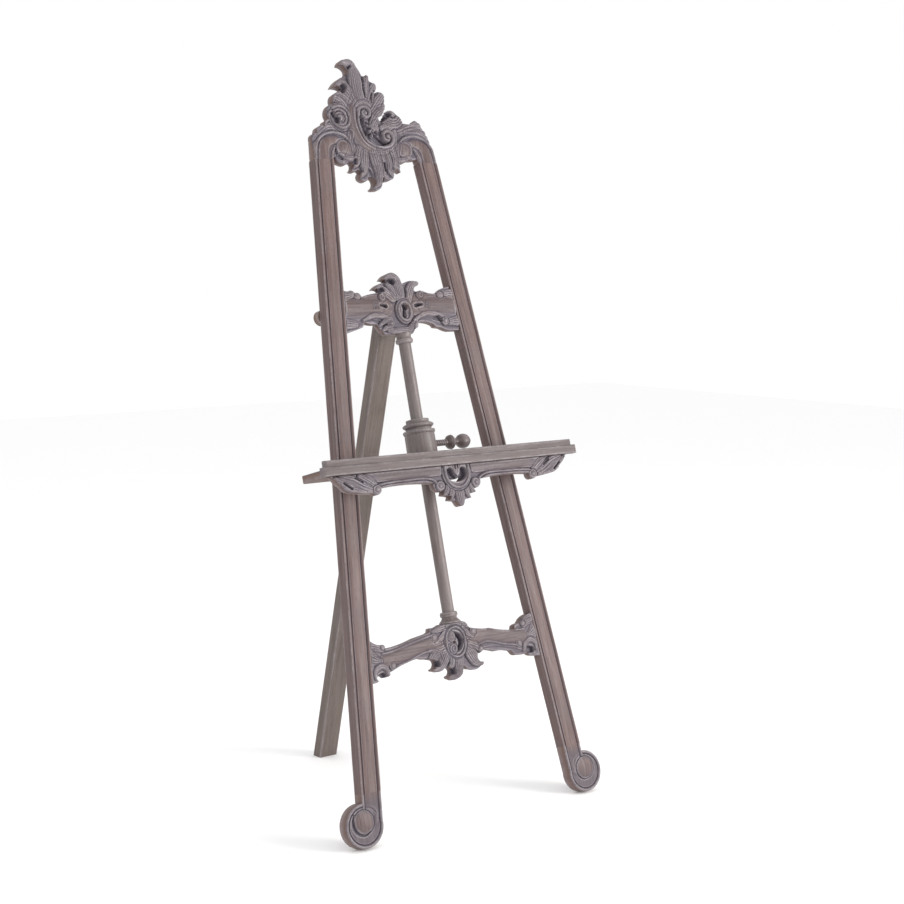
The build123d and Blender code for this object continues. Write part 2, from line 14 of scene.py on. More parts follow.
import bpy
import numpy as np
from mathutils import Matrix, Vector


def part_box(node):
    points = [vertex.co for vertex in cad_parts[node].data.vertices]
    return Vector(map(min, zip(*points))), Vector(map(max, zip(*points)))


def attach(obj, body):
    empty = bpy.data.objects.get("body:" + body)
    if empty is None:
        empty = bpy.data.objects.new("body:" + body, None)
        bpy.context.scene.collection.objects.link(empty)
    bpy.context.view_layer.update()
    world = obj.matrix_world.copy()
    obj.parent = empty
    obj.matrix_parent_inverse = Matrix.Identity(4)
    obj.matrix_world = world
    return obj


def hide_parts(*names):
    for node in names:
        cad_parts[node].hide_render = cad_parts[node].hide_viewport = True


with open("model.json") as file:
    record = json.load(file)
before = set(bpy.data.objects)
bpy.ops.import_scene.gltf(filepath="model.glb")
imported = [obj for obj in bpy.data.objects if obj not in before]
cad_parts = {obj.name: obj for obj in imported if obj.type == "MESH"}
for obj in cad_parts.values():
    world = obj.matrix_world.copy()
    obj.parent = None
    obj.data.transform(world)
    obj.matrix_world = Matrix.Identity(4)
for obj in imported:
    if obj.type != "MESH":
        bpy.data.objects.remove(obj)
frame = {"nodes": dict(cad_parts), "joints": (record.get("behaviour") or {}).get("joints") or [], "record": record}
log = logging.getLogger("easel")

MM = 0.001
Corner = tuple[float, float, float]
Points = Sequence[tuple[float, float]]
Placer = Callable[[np.ndarray, np.ndarray, np.ndarray], np.ndarray]
Socket = bpy.types.NodeSocket
Source = Union[Socket, float, tuple]


# ---- where things are ----
@dataclass(frozen=True)
class Stance:
    """A tilted drawing frame: its origin in metres and its unit directions.

    Args:
        origin: Place of x 0, depth 0, height 0, in metres.
        depth: Unit vector into the frame.
        rise: Unit vector along the frame.
    """

    origin: np.ndarray
    depth: np.ndarray
    rise: np.ndarray

    def place(self, x: np.ndarray, depth: np.ndarray, height: np.ndarray) -> np.ndarray:
        """Drawn millimetres to metres: origin + x * X + depth * depth direction + height * rise.

        Args:
            x: Distance to the right, in mm.
            depth: Distance into the frame, in mm.
            height: Distance along the frame, in mm.

        Returns:
            Points of the same shape with a last axis of 3, in metres.
        """
        x, depth, height = np.broadcast_arrays(x, depth, height)
        across = np.array([1.0, 0.0, 0.0])
        drawn = x[..., None] * across + depth[..., None] * self.depth + height[..., None] * self.rise
        return self.origin + MM * drawn


def joint(name: str) -> dict:
    """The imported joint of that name."""
    return next(j for j in frame["joints"] if j["name"] == name)


def front_stance() -> Stance:
    """Stance of the front frame, from the shelf's slide and the clamp screw's axis."""
    rise = np.array(joint("tray_slide")["axis"], float)
    depth = np.array([0.0, rise[2], -rise[1]])
    clamp = np.array(joint("clamp_turn")["pos_m"], float)
    drawn = MM * (CLAMP_X * np.array([1.0, 0, 0]) + POST_DEPTH * depth + CLAMP_HEIGHT * rise)
    return Stance(clamp - drawn, depth, rise)


CLAMP_X = 60.0            # of the clamp screw's pivot, mm
CLAMP_HEIGHT = 842.0      # of its axis along the frame, mm
POST_DEPTH = 12.0         # of the post's axis, mm
LEG_SPREAD = 641.0        # over the legs' outer edges at height 0, mm
LEG_TAPER = math.radians(5.71)
LEG_WIDTH = 50.0
LEG_THICK = 30.0
LEG_HEIGHT = 1500.0
LEAF_REACH = 2.2          # of the rear leg's front before its pin, mm
LEVEL_WIDTH = LEG_WIDTH / math.cos(LEG_TAPER)
STANCE = front_stance()


def outer_x(height: float) -> float:
    """Leg's outer edge at a height along the frame, in mm."""
    return LEG_SPREAD / 2 - height * math.tan(LEG_TAPER)


def inner_x(height: float) -> float:
    """Leg's inner edge at a height along the frame, in mm."""
    return outer_x(height) - LEVEL_WIDTH


# ---- lines and outlines, in mm ----
def ease(value: np.ndarray) -> np.ndarray:
    """Smooth step: 3v^2 - 2v^3 with v held between 0 and 1."""
    v = np.clip(value, 0.0, 1.0)
    return v * v * (3.0 - 2.0 * v)


def bowed(corners: Sequence[Corner], pitch: float = 1.5) -> np.ndarray:
    """Closed outline whose edges are arcs.

    Each edge from a to b with swell s follows a parabola: a + t (b - a) + 4 s t (1 - t) n, where n is
    the unit normal to the left of the edge.

    Args:
        corners: x, height and the swell of the edge that follows, clockwise.
        pitch: Greatest distance between neighbouring points.

    Returns:
        Points of shape (n, 2).
    """
    table = np.array(corners, float)
    start, swell = table[:, :2], table[:, 2]
    step = np.roll(start, -1, axis=0) - start
    length = np.hypot(step[:, 0], step[:, 1])
    normal = np.stack([-step[:, 1], step[:, 0]], 1) / length[:, None]
    count = np.maximum(2, np.ceil(length / pitch)).astype(int)
    edge = np.repeat(np.arange(len(table)), count)
    first = np.cumsum(count) - count
    t = (np.arange(count.sum()) - first[edge]) / count[edge]
    bulge = 4.0 * swell[edge] * t * (1.0 - t)
    return start[edge] + t[:, None] * step[edge] + bulge[:, None] * normal[edge]


def flowing(points: Points, pitch: float = 0.7) -> np.ndarray:
    """Smooth line through points: a Catmull-Rom spline, then spaced evenly by its length.

    Args:
        points: Places that the line passes through.
        pitch: Distance between the points of the result.

    Returns:
        Points of shape (n, 2).
    """
    p = np.array(points, float)
    p = np.vstack([2 * p[0] - p[1], p, 2 * p[-1] - p[-2]])
    t = np.linspace(0, 1, 17)[None, :, None]
    a, b, c, d = (p[i:len(p) - 3 + i, None] for i in range(4))
    cubic = 0.5 * (2 * b + (c - a) * t + (2 * a - 5 * b + 4 * c - d) * t**2 + (3 * b - a - 3 * c + d) * t**3)
    line = cubic.reshape(-1, 2)
    run = np.concatenate([[0], np.cumsum(np.hypot(*np.diff(line, axis=0).T))])
    even = np.linspace(0, run[-1], max(3, int(run[-1] / pitch)))
    return np.stack([np.interp(even, run, line[:, k]) for k in (0, 1)], 1)


def mirrored(side: int, points: Points) -> list[tuple[float, float]]:
    """Points drawn for the right, carried over to the left when side is -1."""
    return [(side * x, z) for x, z in points]


def oval(centre: tuple[float, float], radii: tuple[float, float], angles: Sequence[float]) -> list:
    """Points of an ellipse at the given angles, in radians."""
    return [(centre[0] + radii[0] * math.cos(a), centre[1] + radii[1] * math.sin(a)) for a in angles]


def coil(centre: tuple[float, float], radii: tuple[float, float], turns: tuple[float, float]) -> list:
    """Points of a spiral whose radius changes evenly with its angle.

    Args:
        centre: Its middle.
        radii: Radius at its start and at its end.
        turns: Angle at its start and at its end, in whole turns, anticlockwise from +x.

    Returns:
        List of x, height pairs.
    """
    count = max(4, int(abs(turns[1] - turns[0]) * 12) + 1)
    angle = 2 * math.pi * np.linspace(*turns, count)
    radius = np.linspace(*radii, count)
    places = np.stack([centre[0] + radius * np.cos(angle), centre[1] + radius * np.sin(angle)], 1)
    return [tuple(place) for place in places]


def inside_distance(loop: np.ndarray, x: np.ndarray, z: np.ndarray) -> np.ndarray:
    """Distance from grid points to a closed outline, positive inside it.

    The distance to each straight piece is taken at the clamped foot of the perpendicular; the sign is
    the parity of the pieces crossed by a ray along +x.

    Args:
        loop: Outline of shape (n, 2).
        x: First coordinate of the grid.
        z: Second coordinate of the grid.

    Returns:
        Signed distances of the grid's shape.
    """
    points = np.stack([x.ravel(), z.ravel()], 1)
    start = loop
    step = np.roll(loop, -1, axis=0) - loop
    square = (step**2).sum(1)
    best = np.full(len(points), np.inf)
    odd = np.zeros(len(points), bool)
    for part in np.array_split(np.arange(len(loop)), max(1, len(loop) // 24)):
        rel = points[:, None] - start[None, part]
        t = np.clip((rel * step[part]).sum(2) / square[part], 0, 1)
        gap = rel - t[..., None] * step[part]
        best = np.minimum(best, (gap**2).sum(2).min(1))
        low, high = start[part, 1], start[part, 1] + step[part, 1]
        spans = (low[None] > points[:, 1:]) != (high[None] > points[:, 1:])
        slant = np.where(step[part, 1] == 0, 1.0, step[part, 1])
        crossing = rel[..., 0] < rel[..., 1] * step[part, 0] / slant
        odd ^= (spans & crossing).sum(1) % 2 == 1
    return (np.where(odd, 1.0, -1.0) * np.sqrt(best)).reshape(x.shape)


def softened(values: np.ndarray, reach: int) -> np.ndarray:
    """Values averaged over a square of 2 reach + 1 cells, twice, by running sums along each axis."""
    out = values
    for axis in (0, 1, 0, 1):
        pad = [(0, 0), (0, 0)]
        pad[axis] = (reach + 1, reach)
        total = np.cumsum(np.pad(out, pad, mode="edge"), axis=axis)
        width = 2 * reach + 1
        ahead = np.take(total, range(width, total.shape[axis]), axis=axis)
        behind = np.take(total, range(0, total.shape[axis] - width), axis=axis)
        out = (ahead - behind) / width
    return out


# ---- carved boards ----
@dataclass
class Relief:
    """A board whose front is a height map that a carver's strokes raise and cut.

    Heights are in mm, 0 on the board's front plane and positive towards the viewer.

    Args:
        outline: Corners of the board, clockwise, with the swell of each edge.
        thick: Thickness behind the front plane.
        ground: Height of the cleared ground between strokes.
        pitch: Size of a grid cell.
        round_over: Width of the rounding along the outline and round the holes.
        united: Second outline, joined to the first.
    """

    outline: np.ndarray
    thick: float
    ground: float = -7.0
    pitch: float = 1.0
    round_over: float = 3.0
    united: np.ndarray | None = None

    def __post_init__(self) -> None:
        """Lays the grid over the outline and starts it at the ground."""
        every = self.outline if self.united is None else np.vstack([self.outline, self.united])
        low, high = every.min(0) - 3 * self.pitch, every.max(0) + 3 * self.pitch
        axes = [np.arange(a, b, self.pitch) for a, b in zip(low, high)]
        self.x, self.z = np.meshgrid(*axes, indexing="ij")
        self.solid = inside_distance(self.outline, self.x, self.z)
        if self.united is not None:
            self.solid = np.maximum(self.solid, inside_distance(self.united, self.x, self.z))
        self.height = np.full(self.x.shape, self.ground)
        self.back = np.full(self.x.shape, self.thick)
        self.brown = np.zeros(self.x.shape)

    def near(self, line: np.ndarray, reach: float) -> tuple:
        """Grid window round a line, with each cell's distance, side and progress along the line.

        Args:
            line: Evenly spaced points of shape (n, 2).
            reach: How far the window goes past the line.

        Returns:
            Window as a pair of slices, distance in mm, sideways offset (left of the line is
            positive), and progress from 0 to 1.
        """
        low, high = line.min(0) - reach, line.max(0) + reach
        cols = np.searchsorted(self.x[:, 0], [low[0], high[0]])
        rows = np.searchsorted(self.z[0], [low[1], high[1]])
        window = (slice(*cols), slice(*rows))
        x, z = self.x[window], self.z[window]
        points = np.stack([x.ravel(), z.ravel()], 1)
        if not len(points):
            return window, x, x, x
        step = np.gradient(line, axis=0)
        step /= np.hypot(*step.T)[:, None]
        part = max(1, 4_000_000 // len(line))
        nearest = np.concatenate([
            ((points[i:i + part, None] - line[None]) ** 2).sum(2).argmin(1)
            for i in range(0, len(points), part)
        ])
        rel = points - line[nearest]
        ahead = step[nearest]
        along = (rel * ahead).sum(1)
        side = rel[:, 1] * ahead[:, 0] - rel[:, 0] * ahead[:, 1]
        pace = np.hypot(*np.diff(line, axis=0).T).mean()
        progress = np.clip(nearest + along / pace, 0, len(line) - 1) / (len(line) - 1)
        away = np.hypot(rel[:, 0], rel[:, 1])
        shape = x.shape
        return window, away.reshape(shape), side.reshape(shape), progress.reshape(shape)

    def stroke(self, points: Points, half: Sequence[float], top: Sequence[float], camber: float = 1.5,
               flutes: int = 0, flute: float = 1.2, moat: float = 1.6, wall: float = 3.5) -> "Relief":
        """Raises a stem or leaf: top - camber s^2 - flute (1 - |sin(pi n (s + 1) / 2)|)^2 within the
        line's half width, s being the offset over the half width, and a steep wall outside it. A
        moat, a narrow dip round the stroke, sets it off from what lies under it.

        Args:
            points: Places that its middle line passes through.
            half: Half widths, spread evenly along the line.
            top: Heights of its middle, spread evenly along the line.
            camber: Drop from its middle to its edges.
            flutes: Number of ribs across it.
            flute: Depth of the grooves between the ribs.
            moat: Depth of the dip round it.
            wall: Steepness of its sides, mm down per mm out.

        Returns:
            The relief, so that calls can be chained.
        """
        line = flowing(points)
        window, away, side, progress = self.near(line, max(half) + 7)
        if not away.size:
            return self
        width = np.interp(progress, np.linspace(0, 1, len(half)), half)
        crown = np.interp(progress, np.linspace(0, 1, len(top)), top)
        s = np.clip(away / width, 0, 1)
        body = crown - camber * s**2
        if flutes:
            signed = np.clip(side / width, -1, 1)
            rib = np.abs(np.sin(math.pi * flutes * (signed + 1) / 2))
            body -= flute * (1 - rib) ** 2
        past = away - width
        body -= wall * np.maximum(past, 0)
        dip = 0.5 * moat * np.exp(-((past - 0.8) / 1.5) ** 2) * (past > -1.5)
        under = self.height[window] - dip
        self.height[window] = np.where(past > 0, np.maximum(under, body),
                                       np.maximum(body, under + 0.2 * moat))
        return self

    def bead(self, points: Points, half: float, top: float, moat: float = 1.0) -> "Relief":
        """Raises a round bead along a line: an ellipse's arc half wide on each side."""
        return self.stroke(points, [half], [top], camber=0.9 * half, moat=moat, wall=2.5)

    def boss(self, centre: tuple[float, float], radii: tuple[float, float], top: float,
             camber: float = 3.0, moat: float = 2.0) -> "Relief":
        """Raises an oval button: top - camber q^2, with q the distance in radii; negative camber
        hollows it.

        Args:
            centre: Its middle.
            radii: Half width and half height.
            top: Height of its middle.
            camber: Drop from its middle to its rim.
            moat: Depth of the dip round it.

        Returns:
            The relief, so that calls can be chained.
        """
        q = np.hypot((self.x - centre[0]) / radii[0], (self.z - centre[1]) / radii[1])
        past = (q - 1) * min(radii)
        body = top - camber * np.minimum(q, 1) ** 2 - 3.5 * np.maximum(past, 0)
        under = self.height - moat * np.exp(-((past - 0.8) / 1.3) ** 2)
        self.height = np.where(past > 0, np.maximum(under, body), body)
        return self

    def sink(self, points: Points, half: Sequence[float], floor: float, slant: float = 4.0) -> "Relief":
        """Cuts a pit along a line: no higher than floor + slant * distance outside its half width."""
        line = flowing(points)
        window, away, _, progress = self.near(line, max(half) + 12 / slant)
        if away.size:
            width = np.interp(progress, np.linspace(0, 1, len(half)), half)
            pit = floor + slant * np.maximum(away - width, 0)
            self.height[window] = np.minimum(self.height[window], pit)
        return self

    def stain(self, points: Points, half: Sequence[float], amount: float = 1.0) -> "Relief":
        """Lets the brown wood show along a line, fading out within 6 mm of its half width."""
        window, away, _, progress = self.near(flowing(points), max(half) + 7)
        if away.size:
            width = np.interp(progress, np.linspace(0, 1, len(half)), half)
            shown = amount * ease(1.0 - (away - width) / 6.0)
            self.brown[window] = np.maximum(self.brown[window], shown)
        return self

    def thin(self, points: Points, half: Sequence[float], back: float, slant: float = 1.5) -> "Relief":
        """Cuts the back away along a line, to a depth of back + slant * distance outside its half width."""
        line = flowing(points)
        window, away, _, progress = self.near(line, max(half) + self.thick / slant)
        if away.size:
            width = np.interp(progress, np.linspace(0, 1, len(half)), half)
            self.back[window] = np.minimum(self.back[window], back + slant * np.maximum(away - width, 0))
        return self

    def pierce(self, points: Points, half: Sequence[float]) -> "Relief":
        """Cuts a hole right through along a line, of the given half widths."""
        window, away, _, progress = self.near(flowing(points), max(half) + 8)
        if away.size:
            width = np.interp(progress, np.linspace(0, 1, len(half)), half)
            self.solid[window] = np.minimum(self.solid[window], away - width)
        return self

    def round_edges(self, height: np.ndarray, solid: np.ndarray) -> np.ndarray:
        """Heights rounded over by a quarter circle of the round-over's width along the outline and holes."""
        q = np.clip(solid / self.round_over, 0, 1)
        eased = height - self.round_over * 0.8 * (1 - np.sqrt(1 - (1 - q) ** 2))
        return np.maximum(eased, 2.0 - self.thick)

    def mesh(self, name: str, placer: Placer, trim: np.ndarray | None = None) -> bpy.types.Object:
        """Closed mesh of the board: the height map in front, walls along its edges, a sawn back.

        The grid's cells are halved into triangles, and those that the edge crosses are cut where the
        signed distance passes zero.

        Args:
            name: Name of the object.
            placer: Turns x, depth and height in mm into metres.
            trim: Signed distances, positive where the board is kept, for plain cuts.

        Returns:
            The object, with its marks for the finish on its points.
        """
        self.back = np.maximum(self.back, 3.0 - self.height)
        sea = np.where(self.solid > 0, self.round_edges(self.height, self.solid), self.ground - 4.0)
        relative = sea - softened(sea, max(2, round(3.0 / self.pitch)))
        fine = sea - softened(sea, max(1, round(1.2 / self.pitch)))
        field_ = self.solid if trim is None else np.minimum(self.solid, trim)
        layers = (self.x, self.z, self.solid, self.height, relative, fine, self.back, self.brown)
        flat = np.stack([layer.ravel() for layer in layers], 1)
        points, faces, rim = march(field_, flat)
        count = len(points)
        x, z, solid, height, relative, fine, back, brown = points.T
        height = self.round_edges(height, solid)
        saw = 0.2 * np.sin(z / 3.1 + 0.6 * np.sin(x / 40.0)) * np.sin(x / 23.0 + z / 31.0)
        q = np.clip(solid / min(self.round_over, 2.0), 0, 1)
        eased = 0.8 * min(self.round_over, 2.0) * (1 - np.sqrt(1 - (1 - q) ** 2))
        front = placer(x, -height, z)
        rear = placer(x, back + saw * q - eased, z)
        ring, place = np.unique(rim, return_inverse=True)
        behind = placer(x[ring], 1.5 - height[ring], z[ring])
        middle = place.reshape(rim.shape) + 2 * count
        walls = np.vstack([
            np.stack([rim[:, 1], rim[:, 0], middle[:, 0], middle[:, 1]], 1),
            np.stack([middle[:, 1], middle[:, 0], rim[:, 0] + count, rim[:, 1] + count], 1),
        ])
        tris = np.vstack([faces, faces[:, ::-1] + count])
        obj = mesh_object(name, np.vstack([front, rear, behind]), [tris, walls], 50.0)
        sharpen(obj, np.vstack([rim, rim + count]))
        # wear marks convex ridges, where the finish shows pale edges that are partly real wear and partly painted
        # highlight; recess marks hollows, where lime and painted shade go.
        marks = {
            "wear": (np.clip(relative * 0.45 + fine * 1.8, 0, 1), 0.6 * (1 - q), 0.0),
            "recess": (np.clip(-relative * 0.33 - fine * 0.25, 0, 1), 0 * q, 0.0),
            "raw": (0.5 * np.clip(1 - solid, 0, 1), 0 * q + 1.0, 0.9),
            "depth": (np.clip(-height / 12.0, 0, 1), 0 * q + 0.3, 0.1),
            "brown": (brown, brown, brown[ring]),
        }
        for key, (ahead, rearward, sides) in marks.items():
            add_attribute(obj, key, np.concatenate([ahead, rearward, sides + 0 * x[ring]]))
        return obj


def march(field_: np.ndarray, values: np.ndarray) -> tuple[np.ndarray, np.ndarray, np.ndarray]:
    """Triangles of the part of a grid where a field is not negative.

    Points of the grid that nearly touch the edge are moved onto it first, along the field's
    gradient, so that no slivers are left.

    Args:
        field_: Signed distances over the grid, positive on the kept side.
        values: One row per grid point, starting with its two coordinates and its distance inside the
            outline.

    Returns:
        Rows of the kept points, anticlockwise triangles of their numbers, and the directed edges of
        the rim with the kept side on their left.
    """
    f = field_.copy()
    values = values.copy()
    pitch = abs(values[field_.shape[1], 0] - values[0, 0])
    slope = np.stack(np.gradient(f, pitch), -1).reshape(-1, 2)
    flat = f.ravel()
    close = np.abs(flat) < 0.28 * pitch
    edge = close & (np.abs(values[:, 2] - flat) < 1e-9)
    values[edge, 2] = 0.0
    size = np.maximum((slope**2).sum(1), 0.25)
    move = (-flat / size)[:, None] * slope
    values[close, :2] += move[close]
    flat[close] = 0.0
    solid = flat >= 0
    ids = np.arange(flat.size).reshape(f.shape)
    a, b, c, d = (part.ravel() for part in (ids[:-1, :-1], ids[1:, :-1], ids[1:, 1:], ids[:-1, 1:]))
    even = (np.add.outer(np.arange(f.shape[0] - 1), np.arange(f.shape[1] - 1)) % 2 == 0).ravel()
    tris = np.vstack([
        np.stack([a, b, c], 1)[even], np.stack([a, c, d], 1)[even],
        np.stack([a, b, d], 1)[~even], np.stack([b, c, d], 1)[~even],
    ])
    count = solid[tris].sum(1)
    full = tris[count == 3]
    lone = turn_first(tris[count == 1], solid, True)
    pair = turn_first(tris[count == 2], solid, False)
    cut_edges = [lone[:, [0, 1]], lone[:, [0, 2]], pair[:, [1, 0]], pair[:, [2, 0]]]
    unique, place = np.unique(np.vstack(cut_edges), axis=0, return_inverse=True)
    place = place.ravel()
    inner, outer = flat[unique[:, 0]], flat[unique[:, 1]]
    t = (inner / (inner - outer))[:, None]
    crossing = values[unique[:, 0]] * (1 - t) + values[unique[:, 1]] * t
    ring = np.where(inner == 0, unique[:, 0], flat.size + np.arange(len(unique)))[place]
    bounds = np.cumsum([0] + [len(part) for part in cut_edges])
    p, q, r, s = (ring[bounds[i]:bounds[i + 1]] for i in range(4))
    faces = np.vstack([
        full, np.stack([lone[:, 0], p, q], 1),
        np.stack([pair[:, 1], pair[:, 2], s], 1), np.stack([pair[:, 1], s, r], 1),
    ])
    faces = faces[(faces != np.roll(faces, -1, axis=1)).all(1)]
    rows = np.vstack([values, crossing])
    used, faces = np.unique(faces, return_inverse=True)
    faces = faces.reshape(-1, 3)
    edges = np.vstack([faces[:, [0, 1]], faces[:, [1, 2]], faces[:, [2, 0]]])
    code = edges[:, 0].astype(np.int64) * len(used) + edges[:, 1]
    back = edges[:, 1].astype(np.int64) * len(used) + edges[:, 0]
    rim = edges[~np.isin(code, back)]
    return rows[used], faces, rim


def turn_first(tris: np.ndarray, solid: np.ndarray, wanted: bool) -> np.ndarray:
    """Triangles turned so that their one corner whose state is wanted comes first."""
    if not len(tris):
        return tris
    first = (solid[tris] == wanted).argmax(1)
    order = (first[:, None] + np.arange(3)) % 3
    return np.take_along_axis(tris, order, 1)


# ---- meshes ----
def mesh_object(name: str, points: np.ndarray, faces: list[np.ndarray],
                crease: float = 38.0) -> bpy.types.Object:
    """Object at the origin from points and lists of equally long faces.

    Args:
        name: Name of the object and its mesh.
        points: Places in metres, of shape (n, 3).
        faces: Arrays of point numbers, one array per number of corners.
        crease: Angle above which an edge stays sharp, in degrees.

    Returns:
        The object, linked to the scene and shaded smooth between its creases.
    """
    mesh = bpy.data.meshes.new(name)
    loops = np.concatenate([part.ravel() for part in faces]).astype(np.int32)
    sizes = np.concatenate([np.full(len(part), part.shape[1]) for part in faces]).astype(np.int32)
    starts = (np.cumsum(sizes) - sizes).astype(np.int32)
    mesh.vertices.add(len(points))
    mesh.vertices.foreach_set("co", points.astype(np.float32).ravel())
    mesh.loops.add(len(loops))
    mesh.loops.foreach_set("vertex_index", loops)
    mesh.polygons.add(len(sizes))
    mesh.polygons.foreach_set("loop_start", starts)
    mesh.update(calc_edges=True)
    mesh.validate()
    mesh.shade_smooth()
    mesh.set_sharp_from_angle(angle=math.radians(crease))
    obj = bpy.data.objects.new(name, mesh)
    bpy.context.scene.collection.objects.link(obj)
    return obj


def sharpen(obj: bpy.types.Object, pairs: np.ndarray) -> None:
    """Marks the edges between pairs of points sharp."""
    mesh = obj.data
    ends = np.empty(2 * len(mesh.edges), np.int32)
    mesh.edges.foreach_get("vertices", ends)
    ends = ends.reshape(-1, 2).astype(np.int64)
    code, wanted = (np.sort(part, axis=1) @ np.array([len(mesh.vertices), 1]) for part in (ends, pairs))
    layer = mesh.attributes.get("sharp_edge") or mesh.attributes.new("sharp_edge", "BOOLEAN", "EDGE")
    sharp = np.empty(len(mesh.edges), bool)
    layer.data.foreach_get("value", sharp)
    layer.data.foreach_set("value", sharp | np.isin(code, wanted))


def add_attribute(obj: bpy.types.Object, name: str, values: np.ndarray) -> None:
    """Stores one number per point under a name that materials read."""
    layer = obj.data.attributes.new(name, "FLOAT", "POINT")
    layer.data.foreach_set("value", np.ascontiguousarray(values, dtype=np.float32))


def volume(points: np.ndarray, faces: list[np.ndarray]) -> float:
    """Signed volume of a closed mesh: the sum over its faces' fans of a . (b x c) / 6."""
    total = 0.0
    for part in faces:
        corner = points[part]
        for k in range(1, part.shape[1] - 1):
            total += (corner[:, 0] * np.cross(corner[:, k], corner[:, k + 1])).sum() / 6
    return total


def sheet_faces(rows: int, around: int, closed_rows: bool) -> list[np.ndarray]:
    """Quads of a grid that closes round its second direction, with caps or closed along its first.

    Args:
        rows: Number of rings.
        around: Points in each ring.
        closed_rows: True if the last ring joins the first, as on a bored piece.

    Returns:
        Arrays of point numbers.
    """
    ids = np.arange(rows * around).reshape(rows, around)
    next_row = np.roll(ids, -1, axis=0) if closed_rows else ids[1:]
    here = ids if closed_rows else ids[:-1]
    quads = np.stack([here, np.roll(here, -1, 1), np.roll(next_row, -1, 1), next_row], -1).reshape(-1, 4)
    if closed_rows:
        return [quads]
    return [quads, ids[:1, ::-1].copy(), ids[-1:].copy()]


def surface(name: str, grids: Sequence[np.ndarray], closed_rows: bool = False,
            marks: dict[str, Sequence[np.ndarray]] | None = None, crease: float = 38.0) -> bpy.types.Object:
    """Object from one or more tubes of points, each closed round and capped at its ends.

    Args:
        name: Name of the object.
        grids: Points in metres, each of shape (rings, points per ring, 3).
        closed_rows: True if each tube's last ring joins its first.
        marks: Attributes by name, one array per grid, of shape (rings, points per ring).
        crease: Angle above which an edge stays sharp, in degrees.

    Returns:
        The object, with its faces outwards.
    """
    points, faces, start = [], [], 0
    for grid in grids:
        rows, around = grid.shape[:2]
        part = sheet_faces(rows, around, closed_rows)
        flat = grid.reshape(-1, 3)
        if volume(flat, part) < 0:
            part = [piece[:, ::-1] for piece in part]
        faces += [piece + start for piece in part]
        points.append(flat)
        start += len(flat)
    obj = mesh_object(name, np.vstack(points), faces, crease)
    for key, values in (marks or {}).items():
        spread = [np.broadcast_to(value, grid.shape[:2]).ravel() for value, grid in zip(values, grids)]
        add_attribute(obj, key, np.concatenate(spread))
    return obj


def rounded(corners: Sequence[tuple[float, float, float]], steps: int = 5, closed: bool = True) -> np.ndarray:
    """Outline with eased corners: each is a parabola from r short of it to r past it.

    Args:
        corners: First and second coordinate, and how far the easing reaches along both edges.
        steps: Points on each corner.
        closed: False for a line whose two ends stay as they are.

    Returns:
        Points of shape (n, 2).
    """
    table = np.array(corners, float)
    p, reach = table[:, :2], table[:, 2:]
    before, after = np.roll(p, 1, axis=0) - p, np.roll(p, -1, axis=0) - p
    before /= np.maximum(np.hypot(*before.T), 1e-9)[:, None]
    after /= np.maximum(np.hypot(*after.T), 1e-9)[:, None]
    t = np.linspace(0, 1, steps)[None, :, None]
    start, end, middle = (p + reach * before)[:, None], (p + reach * after)[:, None], p[:, None]
    curve = start * (1 - t) ** 2 + 2 * middle * t * (1 - t) + end * t**2
    if not closed:
        curve[0], curve[-1] = p[0], p[-1]
    flat = curve.reshape(-1, 2)
    keep = np.hypot(*(flat - np.roll(flat, 1, axis=0)).T) > 1e-4
    keep[0] |= not closed
    return flat[keep]


def divided(line: np.ndarray, pitch: float, closed: bool = True) -> np.ndarray:
    """Line with its long pieces divided so that none is longer than the pitch."""
    after = np.roll(line, -1, axis=0) if closed else line[1:]
    here = line if closed else line[:-1]
    length = np.hypot(*(after - here).T)
    count = np.maximum(1, np.ceil(length / pitch)).astype(int)
    piece = np.repeat(np.arange(len(here)), count)
    t = (np.arange(count.sum()) - (np.cumsum(count) - count)[piece]) / count[piece]
    out = here[piece] + t[:, None] * (after - here)[piece]
    return out if closed else np.vstack([out, line[-1:]])


# Its result places the pale edges, partly real wear and partly a painted highlight on the ridges.
def bend_wear(line: np.ndarray, closed: bool = True, gain: float = 1.0) -> np.ndarray:
    """Wear of a profile's points: how much the outline turns outwards within a few mm of each.

    Args:
        line: Profile points.
        closed: True if the profile is a loop.
        gain: Multiplies the result.

    Returns:
        Numbers from 0 to 1.
    """
    loop = line if closed else np.vstack([line, line[-1:]])
    step = np.roll(loop, -1, axis=0) - loop
    angle = np.arctan2(step[:, 1], step[:, 0])
    turn = (angle - np.roll(angle, 1) + math.pi) % (2 * math.pi) - math.pi
    area = (loop[:, 0] * np.roll(loop[:, 1], -1) - np.roll(loop[:, 0], -1) * loop[:, 1]).sum()
    turn *= np.sign(area)
    kernel = np.array([0.25, 0.5, 1.0, 0.5, 0.25])
    spread = np.convolve(np.concatenate([turn[-2:], turn, turn[:2]]), kernel, "valid")
    return np.clip(gain * spread[:len(line)], 0, 1)


@dataclass(frozen=True)
class Axis:
    """A turned piece's axis, in a stance: along the frame's rise or across it.

    Args:
        x: Its place across, in mm; ignored when it runs across.
        depth: Its place into the frame, in mm.
        height: Its place along the frame, in mm; ignored when it runs along the rise.
        across: True if it runs along x.
    """

    x: float = 0.0
    depth: float = POST_DEPTH
    height: float = 0.0
    across: bool = False

    def place(self, radius: np.ndarray, along: np.ndarray, angle: np.ndarray) -> np.ndarray:
        """Points at a radius and angle about the axis: radius (cos a, sin a) beside it, in metres."""
        side, rise = radius * np.cos(angle), radius * np.sin(angle)
        if self.across:
            return STANCE.place(along, self.depth + side, self.height + rise)
        return STANCE.place(self.x + side, self.depth - rise, along)


